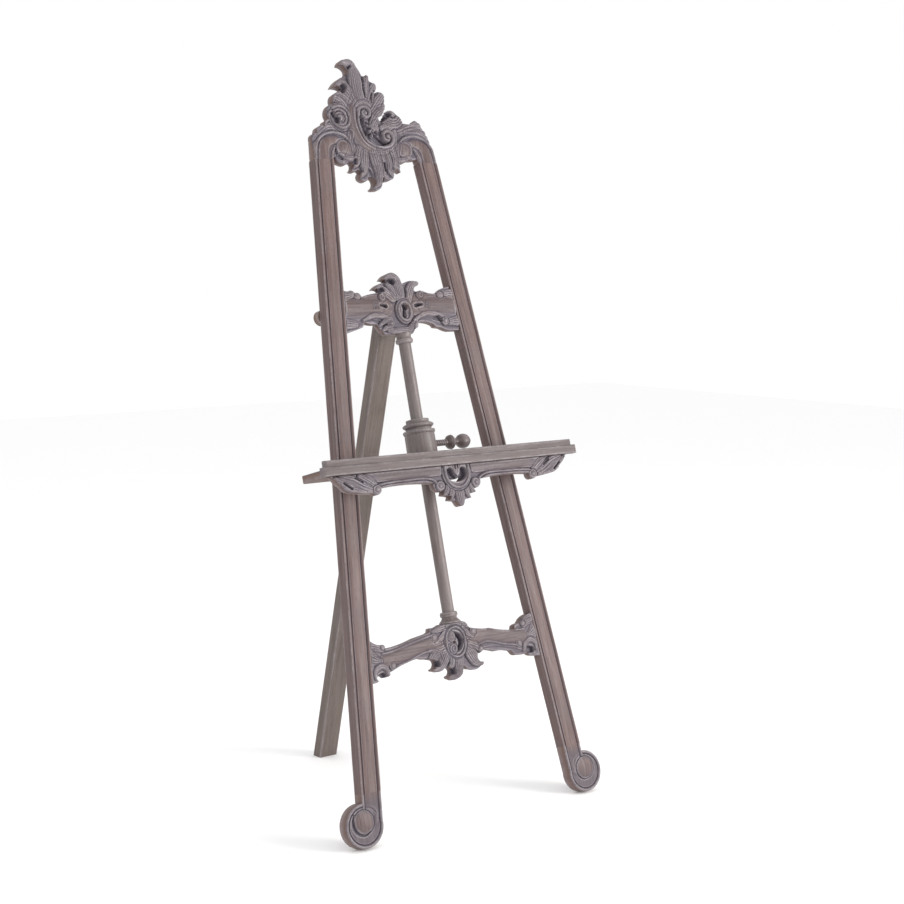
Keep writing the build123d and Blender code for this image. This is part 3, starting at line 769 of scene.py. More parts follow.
def turned(name: str, profiles: Sequence[np.ndarray], axis: Axis, bored: bool = False,
           around: int = 96) -> bpy.types.Object:
    """Lathe-turned piece: each profile of (radius, place along) is carried round the axis.

    Args:
        name: Name of the object.
        profiles: Points of shape (n, 2); a solid piece's start and end near the axis.
        axis: The axis it is turned about.
        bored: True if each profile is a loop clear of the axis.
        around: Points in a ring.

    Returns:
        The object, with wear and a painted highlight on its beads and edges.
    """
    angle = np.linspace(0, 2 * math.pi, around, endpoint=False)[None]
    grids, wear = [], []
    for profile in profiles:
        radius, along = profile[:, :1], profile[:, 1:]
        grids.append(axis.place(radius + 0 * angle, along + 0 * angle, angle + 0 * along))
        wear.append(bend_wear(profile, bored, 1.3)[:, None])
    return surface(name, grids, bored, {"wear": wear})


# ---- finishes ----
class Grain(Enum):
    """Which way a piece's grain runs."""

    ACROSS = "across"
    ALONG = "along the frame"
    LEFT_LEG = "along the left leg"
    RIGHT_LEG = "along the right leg"
    REAR_LEG = "along the rear leg"


def lean_angle() -> float:
    """Angle of the front frame from upright, in radians."""
    return math.atan2(STANCE.rise[1], STANCE.rise[2])


def rear_angle() -> float:
    """Angle of the rear leg from upright, forwards at its top, in radians."""
    pin = np.array(joint("rear_leg_fold")["pos_m"], float)
    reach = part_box("rear_leg")[1][1] - pin[1]
    back = (LEG_THICK - LEAF_REACH) * MM
    return math.acos(back / math.hypot(reach, pin[2])) - math.atan2(pin[2], reach)


def grain_turn(grain: Grain) -> tuple[float, float, float]:
    """Euler angles that bring the grain's direction onto the pattern's z axis."""
    lean = -lean_angle()
    turns = {
        Grain.ACROSS: (0.0, math.pi / 2, 0.0),
        Grain.ALONG: (lean, 0.0, 0.0),
        Grain.LEFT_LEG: (lean, LEG_TAPER, 0.0),
        Grain.RIGHT_LEG: (lean, -LEG_TAPER, 0.0),
        Grain.REAR_LEG: (rear_angle(), 0.0, 0.0),
    }
    return turns[grain]


class Graph:
    """A node tree that is written as a list of calls."""

    def __init__(self, tree: bpy.types.NodeTree) -> None:
        """Starts on an existing tree."""
        self.tree = tree

    def node(self, kind: str, inputs: dict | None = None, **settings) -> bpy.types.Node:
        """Adds a node, sets its properties and fills its inputs with values or outputs.

        Args:
            kind: Blender's name of the node's type.
            inputs: Values or output sockets by input name or number.
            **settings: Properties of the node.

        Returns:
            The node.
        """
        made = self.tree.nodes.new(kind)
        for key, value in settings.items():
            setattr(made, key, value)
        for key, value in (inputs or {}).items():
            if isinstance(value, Socket):
                self.tree.links.new(value, made.inputs[key])
            else:
                made.inputs[key].default_value = value
        return made

    def math(self, operation: str, a: Source, b: Source = 0.0, clamp: bool = False) -> Socket:
        """Output of a Math node."""
        return self.node("ShaderNodeMath", {0: a, 1: b}, operation=operation, use_clamp=clamp).outputs[0]

    def noise(self, vector: Socket, scale: float, detail: float = 4.0, rough: float = 0.55) -> Socket:
        """Value of a Noise Texture."""
        settings = {"Vector": vector, "Scale": scale, "Detail": detail, "Roughness": rough}
        return self.node("ShaderNodeTexNoise", settings).outputs["Fac"]

    def between(self, value: Source, low: float, high: float, to_low: float = 0.0,
                to_high: float = 1.0) -> Socket:
        """Value mapped from one range to another, and held inside it."""
        settings = {"Value": value, "From Min": low, "From Max": high, "To Min": to_low, "To Max": to_high}
        return self.node("ShaderNodeMapRange", settings, clamp=True).outputs["Result"]

    def mix(self, fac: Source, a: Source, b: Source) -> Socket:
        """Colour output of a Mix node."""
        made = self.node("ShaderNodeMix", data_type="RGBA")
        for key, value in ((0, fac), (6, a), (7, b)):
            if isinstance(value, Socket):
                self.tree.links.new(value, made.inputs[key])
            else:
                made.inputs[key].default_value = (*value, 1.0) if isinstance(value, tuple) else value
        return made.outputs[2]

    def put(self, source: Socket, target: Socket) -> None:
        """Links an output to an input."""
        self.tree.links.new(source, target)


def group(name: str, inputs: dict[str, tuple[str, float | None]], outputs: dict[str, str]) -> tuple:
    """Empty node group with named sockets.

    Args:
        name: Name of the group.
        inputs: Socket kind and default by name; a vector has no default.
        outputs: Socket kind by name.

    Returns:
        The tree, its graph, its input node and its output node.
    """
    kinds = {"value": "NodeSocketFloat", "vector": "NodeSocketVector", "colour": "NodeSocketColor"}
    tree = bpy.data.node_groups.new(name, "ShaderNodeTree")
    for key, (kind, start) in inputs.items():
        socket = tree.interface.new_socket(key, in_out="INPUT", socket_type=kinds[kind])
        if start is not None:
            socket.default_value = start
    for key, kind in outputs.items():
        tree.interface.new_socket(key, in_out="OUTPUT", socket_type=kinds[kind])
    graph = Graph(tree)
    return tree, graph, graph.node("NodeGroupInput"), graph.node("NodeGroupOutput")


def wood_figure_group() -> bpy.types.NodeTree:
    """Group that gives mahogany's figure: streaks along the grain, short open pores and broad clouds.

    The vector is squeezed along z, so that noise stretches into streaks; pores are the rare high
    values of a finer and longer noise.
    """
    tree, g, into, out = group(
        "wood_figure", {"Vector": ("vector", None), "Fineness": ("value", 1.0)},
        {"Streaks": "value", "Pores": "value", "Clouds": "value"},
    )
    wave = g.noise(into.outputs["Vector"], 9.0, 2.0)
    bent = g.node("ShaderNodeVectorMath", {0: into.outputs["Vector"]}, operation="ADD")
    shift = g.node("ShaderNodeCombineXYZ", {0: g.math("MULTIPLY", wave, 0.006),
                                            1: g.math("MULTIPLY", wave, 0.004)})
    g.put(shift.outputs[0], bent.inputs[1])
    fine = g.node("ShaderNodeVectorMath", {0: bent.outputs[0]}, operation="SCALE")
    g.put(into.outputs["Fineness"], fine.inputs["Scale"])
    long = g.node("ShaderNodeVectorMath", {0: fine.outputs[0], 1: (1.0, 1.0, 0.035)},
                  operation="MULTIPLY").outputs[0]
    streaks = g.noise(long, 210.0, 5.0, 0.62)
    short = g.node("ShaderNodeVectorMath", {0: fine.outputs[0], 1: (1.0, 1.0, 0.09)},
                   operation="MULTIPLY").outputs[0]
    pores = g.between(g.noise(short, 900.0, 1.0, 0.4), 0.60, 0.72)
    clouds = g.noise(into.outputs["Vector"], 14.0, 3.0, 0.6)
    g.put(g.between(streaks, 0.32, 0.68), out.inputs["Streaks"])
    g.put(pores, out.inputs["Pores"])
    g.put(g.between(clouds, 0.3, 0.7), out.inputs["Clouds"])
    return tree


def patina_and_light_group() -> bpy.types.NodeTree:
    """Group that gives the masks of a rubbed, limed finish.

    Pale edges: wear times a broken noise, partly real wear of the finish and partly a painted highlight
    on the ridges. Lime: pale wax left in the recesses, patchy. Shade: painted shade in the deepest and
    narrowest corners, where the carving lies in shadow.
    """
    tree, g, into, out = group("limed_patina_and_painted_light", {"Vector": ("vector", None), "Wear": ("value", 0.0),
                                                "Recess": ("value", 0.0), "Depth": ("value", 0.0),
                                                "Patchiness": ("value", 0.6)},
                               {"Rubbed_and_highlit": "value", "Lime": "value", "Painted_shade": "value"})
    patches = g.between(g.noise(into.outputs["Vector"], 38.0, 4.0, 0.65), 0.35, 0.66)
    specks = g.between(g.noise(into.outputs["Vector"], 420.0, 3.0, 0.6), 0.38, 0.62)
    broken = g.math("ADD", g.math("MULTIPLY", patches, into.outputs["Patchiness"]),
                    g.math("SUBTRACT", 1.0, into.outputs["Patchiness"]))
    # Pale edges on convex ridges: partly real wear of the finish, partly a painted highlight along the ridges.
    rubbed_and_highlight = g.math("MULTIPLY", g.between(into.outputs["Wear"], 0.12, 0.55),
                    g.between(specks, 0.0, 1.0, 0.45, 1.0))
    g.put(g.math("MULTIPLY", rubbed_and_highlight, broken), out.inputs["Rubbed_and_highlit"])
    film = g.math("MAXIMUM", g.between(into.outputs["Depth"], 0.2, 0.75),
                  g.between(into.outputs["Recess"], 0.05, 0.5))
    g.put(g.math("MULTIPLY", film, g.between(broken, 0.0, 1.0, 0.35, 1.0)), out.inputs["Lime"])
    # Painted shade: the deepest and narrowest recesses are masked to be darkened in the colour, standing in for
    # their shadow.
    g.put(g.between(into.outputs["Recess"], 0.4, 1.0), out.inputs["Painted_shade"])
    return tree


def handling_group() -> bpy.types.NodeTree:
    """Group that gives fine scratches and dents as one height, for Bump."""
    tree, g, into, out = group("handling", {"Vector": ("vector", None)}, {"Height": "value"})
    dents = g.between(g.noise(into.outputs["Vector"], 120.0, 2.0, 0.5), 0.25, 0.45)
    tooled = g.noise(into.outputs["Vector"], 480.0, 3.0, 0.55)
    g.put(g.math("ADD", g.math("MULTIPLY", dents, 0.7), g.math("MULTIPLY", tooled, 0.3)),
          out.inputs["Height"])
    return tree


@dataclass(frozen=True)
class WoodFinish:
    """A limed and waxed mahogany, in linear colours.

    Args:
        name: Name of the material.
        grain: Which way the grain runs.
        dark: Colour of the dark streaks.
        light: Colour of the light streaks.
        cloud: Colour of the broad patches.
        lime: Colour of the pale wax.
        rubbed_and_highlight: Colour of the pale ridges, partly real wear and partly a painted highlight.
        raw: Colour of sawn sides that took little stain.
        brown_dark: Colour of the dark streaks where the wax is rubbed off broad surfaces.
        brown_light: Colour of the light streaks there.
        fineness: Multiplies the figure's scale.
        lime_amount: Strength of the wax in the recesses.
        raw_amount: Strength of the unstained colour on the sides.
        rough: Roughness of the middle of the range.
        bump: Strength of the surface's relief.
    """

    name: str
    grain: Grain = Grain.ACROSS
    dark: tuple[float, float, float] = (0.050, 0.035, 0.040)
    light: tuple[float, float, float] = (0.088, 0.065, 0.076)
    cloud: tuple[float, float, float] = (0.076, 0.062, 0.078)
    lime: tuple[float, float, float] = (0.108, 0.100, 0.132)
    # Pale ridge colour: partly real wear, partly a painted highlight.
    rubbed_and_highlight: tuple[float, float, float] = (0.29, 0.26, 0.275)
    raw: tuple[float, float, float] = (0.17, 0.088, 0.055)
    brown_dark: tuple[float, float, float] = (0.070, 0.042, 0.038)
    brown_light: tuple[float, float, float] = (0.130, 0.084, 0.077)
    fineness: float = 1.0
    lime_amount: float = 0.7
    raw_amount: float = 0.55
    rough: float = 0.55
    bump: float = 0.25

    def material(self) -> bpy.types.Material:
        """Builds the material, with its shader in the material itself and its effects from groups."""
        material = bpy.data.materials.new(self.name)
        material.use_nodes = True
        tree = material.node_tree
        tree.nodes.clear()
        g = Graph(tree)
        place = g.node("ShaderNodeTexCoord").outputs["Object"]
        turn = g.node("ShaderNodeMapping", {"Vector": place, "Rotation": grain_turn(self.grain)},
                      vector_type="TEXTURE")
        figure = g.node("ShaderNodeGroup", node_tree=bpy.data.node_groups["wood_figure"])
        g.put(turn.outputs[0], figure.inputs["Vector"])
        figure.inputs["Fineness"].default_value = self.fineness
        patina_and_light = g.node("ShaderNodeGroup", node_tree=bpy.data.node_groups["limed_patina_and_painted_light"])
        g.put(place, patina_and_light.inputs["Vector"])
        for key in ("wear", "recess", "depth"):
            value = g.node("ShaderNodeAttribute", attribute_name=key).outputs["Fac"]
            g.put(value, patina_and_light.inputs[key.capitalize()])
        handling = g.node("ShaderNodeGroup", node_tree=bpy.data.node_groups["handling"])
        g.put(place, handling.inputs["Vector"])
        colour = g.mix(figure.outputs["Streaks"], self.dark, self.light)
        colour = g.mix(g.math("MULTIPLY", figure.outputs["Clouds"], 0.55), colour, self.cloud)
        bare = g.mix(figure.outputs["Streaks"], self.brown_dark, self.brown_light)
        worn_off = g.node("ShaderNodeAttribute", attribute_name="brown").outputs["Fac"]
        patchy = g.math("SUBTRACT", 1.0, g.math("MULTIPLY", figure.outputs["Clouds"], 0.45))
        colour = g.mix(g.math("MULTIPLY", worn_off, patchy), colour, bare)
        raw = g.node("ShaderNodeAttribute", attribute_name="raw").outputs["Fac"]
        colour = g.mix(g.math("MULTIPLY", raw, self.raw_amount), colour, self.raw)
        colour = g.mix(g.math("MULTIPLY", patina_and_light.outputs["Lime"], self.lime_amount), colour, self.lime)
        # Painted shade: half the dark streak colour is mixed into the deepest recesses, standing in for their
        # shadow.
        shade = tuple(0.5 * part for part in self.dark)
        colour = g.mix(g.math("MULTIPLY", patina_and_light.outputs["Painted_shade"], 0.38), colour, shade)
        # Pale colour on the ridges: partly real wear, partly a painted highlight.
        colour = g.mix(g.math("MULTIPLY", patina_and_light.outputs["Rubbed_and_highlit"], 0.8), colour, self.rubbed_and_highlight)
        colour = g.mix(g.math("MULTIPLY", figure.outputs["Pores"], 0.45), colour,
                       tuple(0.6 * part for part in self.dark))
        rough = g.between(figure.outputs["Streaks"], 0.0, 1.0, self.rough + 0.1, self.rough - 0.06)
        rough = g.math("ADD", rough, g.math("MULTIPLY", patina_and_light.outputs["Lime"], 0.18))
        rough = g.math("SUBTRACT", rough, g.math("MULTIPLY", patina_and_light.outputs["Rubbed_and_highlit"], 0.12), clamp=True)
        height = g.math("SUBTRACT", g.math("MULTIPLY", figure.outputs["Streaks"], 0.35),
                        figure.outputs["Pores"])
        height = g.math("ADD", height, g.math("MULTIPLY", handling.outputs["Height"], 0.8))
        bump = g.node("ShaderNodeBump", {"Height": height, "Strength": self.bump, "Distance": 0.0006})
        shader = g.node("ShaderNodeBsdfPrincipled", {
            "Base Color": colour, "Roughness": rough, "Normal": bump.outputs[0], "Specular IOR Level": 0.4,
            "Coat Weight": 0.06, "Coat Roughness": 0.35,
        })
        g.put(shader.outputs[0], g.node("ShaderNodeOutputMaterial").inputs["Surface"])
        return material


@dataclass(frozen=True)
class MetalFinish:
    """Worn hardware: a metal with tarnish in patches and brushed, scratched roughness.

    Args:
        name: Name of the material.
        clean: Linear colour of the bare metal.
        tarnish: Linear colour of the dull patches.
        rough: Roughness of the bare metal.
    """

    name: str
    clean: tuple[float, float, float]
    tarnish: tuple[float, float, float]
    rough: float = 0.38

    def material(self) -> bpy.types.Material:
        """Builds the material."""
        material = bpy.data.materials.new(self.name)
        material.use_nodes = True
        tree = material.node_tree
        tree.nodes.clear()
        g = Graph(tree)
        place = g.node("ShaderNodeTexCoord").outputs["Object"]
        patches = g.between(g.noise(place, 260.0, 5.0, 0.65), 0.36, 0.62)
        scratches = g.noise(g.node("ShaderNodeMapping",
                                   {"Vector": place, "Scale": (1.0, 30.0, 30.0)}).outputs[0], 60.0, 4.0)
        colour = g.mix(patches, self.clean, self.tarnish)
        rough = g.math("ADD", g.math("MULTIPLY", scratches, 0.25),
                       g.between(patches, 0, 1, self.rough - 0.1, self.rough + 0.2))
        bump = g.node("ShaderNodeBump", {"Height": scratches, "Strength": 0.15, "Distance": 0.0002})
        metallic = g.between(patches, 0.0, 1.0, 1.0, 0.75)
        shader = g.node("ShaderNodeBsdfPrincipled", {
            "Base Color": colour, "Metallic": metallic, "Roughness": rough, "Normal": bump.outputs[0],
        })
        g.put(shader.outputs[0], g.node("ShaderNodeOutputMaterial").inputs["Surface"])
        return material


class Finishes:
    """Every material of the easel, made once and handed out by name."""

    def __init__(self) -> None:
        """Builds the shared groups and the materials."""
        wood_figure_group()
        patina_and_light_group()
        handling_group()
        crown = dict(dark=(0.074, 0.043, 0.039), light=(0.148, 0.093, 0.086), cloud=(0.108, 0.082, 0.083))
        plain = dict(dark=(0.085, 0.062, 0.053), light=(0.160, 0.124, 0.108), cloud=(0.130, 0.108, 0.098))
        kinds = [WoodFinish("carved_wood", Grain.ALONG), WoodFinish("carved_wood_across", Grain.ACROSS),
                 WoodFinish("moulded_wood_left", Grain.LEFT_LEG, **crown),
                 WoodFinish("moulded_wood_right", Grain.RIGHT_LEG, **crown),
                 WoodFinish("plain_wood_leg", Grain.REAR_LEG, **plain),
                 WoodFinish("plain_wood_rail", Grain.ACROSS, **plain),
                 WoodFinish("shelf_wood", Grain.ACROSS, dark=(0.070, 0.048, 0.046),
                            light=(0.110, 0.081, 0.078), cloud=(0.094, 0.079, 0.084)),
                 WoodFinish("turned_wood", Grain.ALONG, dark=(0.095, 0.070, 0.066),
                            light=(0.185, 0.150, 0.144), cloud=(0.155, 0.138, 0.138), rough=0.45),
                 WoodFinish("turned_wood_across", Grain.ACROSS, dark=(0.08, 0.056, 0.053),
                            light=(0.14, 0.105, 0.10), cloud=(0.115, 0.095, 0.095), rough=0.42),
                 WoodFinish("raw_wood", Grain.ACROSS, dark=(0.15, 0.08, 0.05), light=(0.28, 0.17, 0.11),
                            cloud=(0.22, 0.135, 0.088), rough=0.7),
                 MetalFinish("steel_screws", (0.46, 0.45, 0.43), (0.20, 0.18, 0.16)),
                 MetalFinish("hinge_brass", (0.58, 0.42, 0.19), (0.24, 0.16, 0.09))]
        self.by_name = {kind.name: kind.material() for kind in kinds}

    def dress(self, obj: bpy.types.Object, name: str) -> None:
        """Gives an object the one material of that name."""
        obj.data.materials.clear()
        obj.data.materials.append(self.by_name[name])


def adopt(obj: bpy.types.Object, body: str, node: str | None, finishes: Finishes,
          finish: str) -> None:
    """Dresses a piece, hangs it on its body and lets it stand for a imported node.

    Args:
        obj: The finished piece, in place.
        body: Body that it moves with.
        node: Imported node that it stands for, or None.
        finishes: The easel's materials.
        finish: Name of the material.
    """
    finishes.dress(obj, finish)
    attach(obj, body)
    if node:
        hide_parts(node)
    log.info("%s: %d faces, rides on %s", obj.name, len(obj.data.polygons), body)


# ---- the carved boards ----
def lifted(corners: Sequence[Corner], scale: float, height: float) -> list[Corner]:
    """Drawn corners stretched along x by a scale and lifted to a height along the frame."""
    return [(x * scale, z + height, swell) for x, z, swell in corners]


def front_placer(seat: float, front: float = 0.0) -> Placer:
    """Placer of a board that is drawn from a height, its front plane at a depth in the front frame."""
    return lambda x, depth, height: STANCE.place(x, front + depth, height + seat)


@dataclass
class Crest:
    """Crest board: an asymmetrical bunch of acanthus over the ends of both legs.

    Args:
        seat: Height of the legs' ends, from which the carving is drawn.
        thick: Thickness of the board.
        drawn: Half width over the legs' ends that the corners are drawn for.
        overlap: How far it is drawn over the legs before it is cut off plainly at their ends.
    """

    seat: float = LEG_HEIGHT
    thick: float = 28.0
    drawn: float = 170.5
    overlap: float = 8.0
    upper: tuple[Corner, ...] = (
        (-165.5, 46, 3), (-158, 62, 0), (-151, 61, 1), (-149, 73, 2), (-135, 80, 0), (-129, 77, 0),
        (-126, 90, 1), (-113, 95, 0), (-116, 106, 4), (-103, 131, 0), (-95, 128, 0), (-96, 141, 3),
        (-84, 158, 3), (-62, 163, 0), (-64, 170, -2), (-90, 172, 4), (-54, 199, -1), (-45, 205, -2),
        (-43, 217, -3), (-62, 226, 4), (-44, 241, 9), (-13, 226, 1), (-3, 208, 0), (4, 198, 0), (9, 207, 3),
        (17, 194, 0), (22, 192, 4), (31, 176, 3), (23, 165, 0), (24, 158, 0), (33, 168, 3), (47, 164, 4),
        (50, 142, 2), (41, 122, 0), (33, 110, -2), (45, 119, 5), (74, 117, 2), (88, 98, -2), (112, 94, -2),
        (130, 105, 2), (141, 96, 0), (143, 86, 0), (151, 82, 3), (156, 70, 0), (159, 62, 2), (164, 50, 0),
        (166, 30, 0),
    )
    under: tuple[Corner, ...] = ((118, 10, 1), (92, 8, 0), (84, 2, -1), (65, -4, -1), (67, -24, -2),
                                 (51, -17, -2), (42, -26, 0), (44, -36, 2), (24, -42, 2), (13, -44, -1),
                                 (11, -36, -1), (9, -50, 6), (-14, -66, 2), (-25, -63, -3), (-13, -48, -5),
                                 (-27, -36, -1), (-31, -44, 4), (-52, -40, 3), (-47, -25, -2),
                                 (-56, -21, 3), (-74, -22, -2), (-66, -8, -2), (-74, -2, 4), (-98, -7, 4),
                                 (-112, 9, 0))

    def outline(self) -> np.ndarray:
        """Outline from the left leg's outer edge round to its inner edge, in mm, from the seat."""
        across = outer_x(self.seat) / self.drawn
        out, inn = outer_x(self.seat), inner_x(self.seat)
        low_out, low_in = outer_x(self.seat - self.overlap), inner_x(self.seat - self.overlap)
        corners = [(-low_out, -self.overlap, 0), (-out, 0, 0), *lifted(self.upper, across, 0), (out, 0, 0),
                   (low_out, -self.overlap, 0), (low_in, -self.overlap, 0), (inn, 0, 0),
                   *lifted(self.under, across, 0), (-inn, 0, 0), (-low_in, -self.overlap, 0)]
        return bowed(corners)

    def mouldings(self, r: Relief) -> None:
        """Legs' mouldings, which bend inwards and end in roundels."""
        middle = outer_x(self.seat) - LEVEL_WIDTH / 2
        for side, roundel in ((-1, (-88, 27)), (1, (84, 30))):
            crown = mirrored(side, [(middle + 0.8, -9), (middle - 1, 14), (137, 36), (118, 47), (96, 45)])
            r.stroke(crown, [26, 24, 23, 20, 14], [-3.8], camber=0, moat=0, wall=1.2)
            r.stroke(crown, [14, 13.5, 13, 11, 8], [0, 0, 0.5, 0, -2], camber=2.2, moat=1.1)
            rim = mirrored(side, [(middle + 23.2, -9), (165, 18), (159, 38), (140, 56), (112, 63), (84, 57),
                                  (69, 40), (70, 20), (86, 6)])
            r.stroke(rim, [2.7], [-0.6, 1.6, 2.6, 2.2, 0.8], camber=2.4, moat=1.4, wall=2.0)
            r.stroke(mirrored(side, [(middle - 21.5, -9), (middle - 22.6, 8), (117, 22), (110, 33)]),
                     [2.4], [-0.8, 0.0, 0.2, -1.5], camber=2.0, moat=1.0, wall=2.0)
            r.boss(roundel, (20, 20), 0.8, 2.6, 1.6)
            r.boss(roundel, (13, 13), 1.6, 2.2, 0.5)
            lobe = [(roundel[0] - side * 26, 6), (roundel[0] - side * 8, 6), (roundel[0] + side * 14, 12)]
            r.stroke(lobe, [6, 7, 4], [-1, -0.5, -2], 2.4, 2, 1.0)

    def hanging_leaves(self, r: Relief) -> None:
        """Leaves that hang from the middle, each with a hooked tip."""
        r.stroke([(-62, 30), (-78, 8), (-92, -2), (-108, 3)], [12, 10, 8, 5], [-1, -2, -4, -6], 3, 3, 1.2)
        r.stroke([(-42, 30), (-52, 8), (-58, -6), (-66, -12)], [12, 11, 9, 6], [-1, 0, 0.5, -2], 3, 3, 1.3)
        r.stroke([(-28, 30), (-36, 0), (-40, -22), (-50, -32)], [12, 12, 10, 7], [-1, 0.5, 2, 0], 3, 4, 1.3)
        r.stroke([(66, 40), (60, 15), (57, -2), (60, -10)], [10, 9, 8, 5], [-1, -1, -1, -3], 2.5, 3, 1.2)
        r.stroke([(46, 34), (50, 8), (48, -8), (56, -16)], [9, 9, 8, 5], [0, 0, 0.5, -1], 2.5, 3, 1.3)
        r.stroke([(26, 30), (32, 0), (32, -20), (38, -28)], [9, 10, 8, 6], [0, 1, 1, -1], 2.5, 3, 1.3)
        r.stroke([(12, 25), (15, -5), (12, -30), (20, -37)], [9, 10, 9, 6], [0.5, 1, 1, -1], 2.5, 3, 1.3)
        r.stroke([(-8, 32), (-4, 0), (-2, -28), (-6, -48), (-17, -58)], [14, 15, 13, 10, 6],
                 [1, 2.5, 3.5, 3.5, 2], 3.5, 5, 1.6)
        r.sink([(18, -4), (18, -22)], [1.6], -8)
        r.sink([(38, -20), (43, -21)], [2.6], -9)
        r.sink([(-60, 2), (-62, -6)], [2.4, 3], -9)
        r.sink([(-26, -22), (-22, -36)], [4, 4.6], -9)
        r.sink([(-50, -18), (-48, -24)], [2.6, 2.0], -8)
        r.sink([(-104, 8), (-96, 4)], [3.4, 3], -9)

    def left_scroll(self, r: Relief) -> None:
        """Scroll on the left shoulder, with its pierced eye, and the leaves round it."""
        r.stroke([(-92, 78), (-120, 78), (-142, 66), (-160, 48)], [11, 10, 9, 6], [-1, -1, -2, -4], 3, 3,
                 1.2)
        r.stroke([(-104, 100), (-122, 94), (-138, 80), (-150, 70)], [8, 7, 6, 4], [-0.5, -1, -2, -4], 2.5,
                 2, 1.2)
        r.stroke([(-60, 118), (-74, 136), (-88, 146), (-98, 143)], [15, 15, 13, 8], [-1, 0, 0, -2], 3.5, 4,
                 1.3)
        r.stroke([(-84, 128), (-98, 124), (-108, 118)], [8, 8, 5], [0, 0, -2], 2.5, 2, 1.2)
        r.stroke([(-45, 150), (-56, 168), (-66, 182), (-78, 179), (-92, 172)], [12, 13, 11, 7, 3],
                 [0.5, 2.5, 3, 3.5, 2], 3, 4, 1.4)
        r.stroke([(-52, 140), (-66, 152), (-82, 158)], [9, 9, 6], [0, 0.5, -1], 2.5, 3, 1.2)
        r.sink([(-64, 172), (-67, 163)], [5.5, 3.5], -11)
        r.boss((-84, 98), (31, 30), -1.5, 1.5, 2.2)
        r.stroke(coil((-85, 99), (28, 18), (0.35, -0.9)), [4.2, 3.6], [2.2, 1.8], 3.2, 0, moat=1.6)
        r.stroke(coil((-86, 98), (19, 9), (0.2, -1.1)), [3.6, 3.0], [1.6, 1.0], 2.6, 0, moat=1.4)
        r.boss((-84, 100), (8, 8), 1.0, 2.5, 1.6)
        r.sink([(-104, 108), (-101, 100), (-96, 94)], [2.6, 4.0, 7.5], -13)
        r.sink([(-139, 97), (-130, 96), (-124, 99)], [1.5, 2.4, 1.5], -8)

    def main_stem(self, r: Relief) -> None:
        """Broad stem that comes down from the top leaf and turns under the pierced crescents."""
        stem = [(-30, 148), (-46, 122), (-53, 92), (-48, 62), (-32, 40), (-6, 28), (24, 26), (48, 38)]
        r.stroke(stem, [17, 15, 14, 14, 14, 12, 9, 6], [0, 0.5, 1, 1.5, 1.5, 1, 0.5, 0], 4, 2, 0.5)
        inner = [(-34, 116), (-37, 92), (-33, 68), (-21, 46), (0, 35.5), (18, 33)]
        r.bead(inner, 2.5, 2.8, 1.2)
        r.stroke([(-44, 124), (-47, 94), (-42, 66), (-28, 42), (-4, 28)], [3.2], [2.6, 2.8, 2.8, 2.4, 1.6],
                 1.8, moat=0.8)
        r.stroke([(-62, 66), (-66, 40), (-52, 16)], [8, 9, 6], [-2, -1.5, -1.5], 2.5, 3, 1.1)
        r.stroke([(62, 74), (58, 52), (46, 30)], [7, 8, 6], [-1.5, -1, -1], 2.5, 3, 1.1)

    def top_leaf(self, r: Relief) -> None:
        """Tall leaf whose tip curls over to the left, and the lobes on its right."""
        r.stroke([(10, 124), (24, 140), (42, 158)], [11, 13, 9], [-0.5, 0, -1.5], 3, 4, 1.4)
        r.stroke([(14, 116), (32, 126), (44, 132)], [8, 10, 7], [-0.5, -0.5, -2], 2.5, 3, 1.3)
        r.stroke([(0, 138), (11, 162), (25, 180)], [10, 12, 8], [0, 0.5, -1], 3, 4, 1.4)
        r.stroke([(-6, 150), (0, 178), (6, 200)], [9, 10, 7], [0.5, 1, -0.5], 2.8, 3, 1.4)
        leaf = [(-20, 134), (-25, 164), (-28, 192), (-30, 214), (-40, 228), (-56, 231)]
        r.stroke(leaf, [15, 21, 19, 15, 11, 5], [0.5, 2, 3, 4.5, 5, 3], 4.5, 7, 0.9)
        r.sink([(-7, 152), (-8, 172), (-4, 196)], [1.3, 2.0, 1.0], -6)
        r.sink([(9, 140), (10, 152), (14, 162)], [1.0, 1.8, 1.0], -6)
        r.sink([(-49, 216), (-42, 219), (-38, 222)], [1.5, 2.6, 1.0], -6)
        r.sink([(20, 168), (27, 166)], [1.6], -7)

    def heart(self, r: Relief) -> None:
        """Hooded curl, inner leaf and volute in the middle, between the pierced crescents."""
        r.sink([(-25, 112), (-24, 92), (-18, 72), (-8, 57), (8, 46), (26, 42)], [2, 7, 9, 8, 7, 3], -13)
        r.thin([(-24, 80), (-8, 52), (14, 44)], [10, 12, 8], 16.0)
        r.stroke([(40, 124), (24, 112), (10, 96), (0, 82), (-6, 72)], [9, 13, 14, 10, 4],
                 [0.5, 2.0, 2.4, 1.0, -2], 3.5, 5, 1.4)
        r.stroke([(8, 88), (8, 74), (2, 64), (-3, 60)], [9, 10, 7, 3], [1.4, 1.6, 0, -2], 3, 3, 1.2)
        r.stroke([(60, 90), (44, 84), (28, 80)], [9, 11, 7], [0, 1.2, 0.8], 2.6, 5, 0.9)
        r.sink([(-13, 92), (-6, 89)], [2.2, 0.6], -11)
        r.sink([(-12, 80), (-5, 77)], [2.4, 0.6], -12)
        r.sink([(4, 66), (9, 54), (20, 46), (32, 44)], [2.5, 6.5, 6, 3], -15)
        r.sink([(8, 68), (14, 64)], [2.5, 0.8], -10)
        curl = coil((-15, 114), (19, 4), (0.53, -0.75))
        r.stroke(curl, [5.5, 5.0, 3.0], [2.2, 3.2, 2.4], 2.8, 2, 0.8, moat=1.4)
        r.boss((-14, 113), (4.5, 4.5), 2.8, 2.0, 1.0)
        r.stroke([(-38, 128), (-26, 137), (-10, 138), (4, 130)], [4, 6, 6, 3], [1.5, 3.4, 3.2, 1.2], 2.8, 3,
                 1.0)
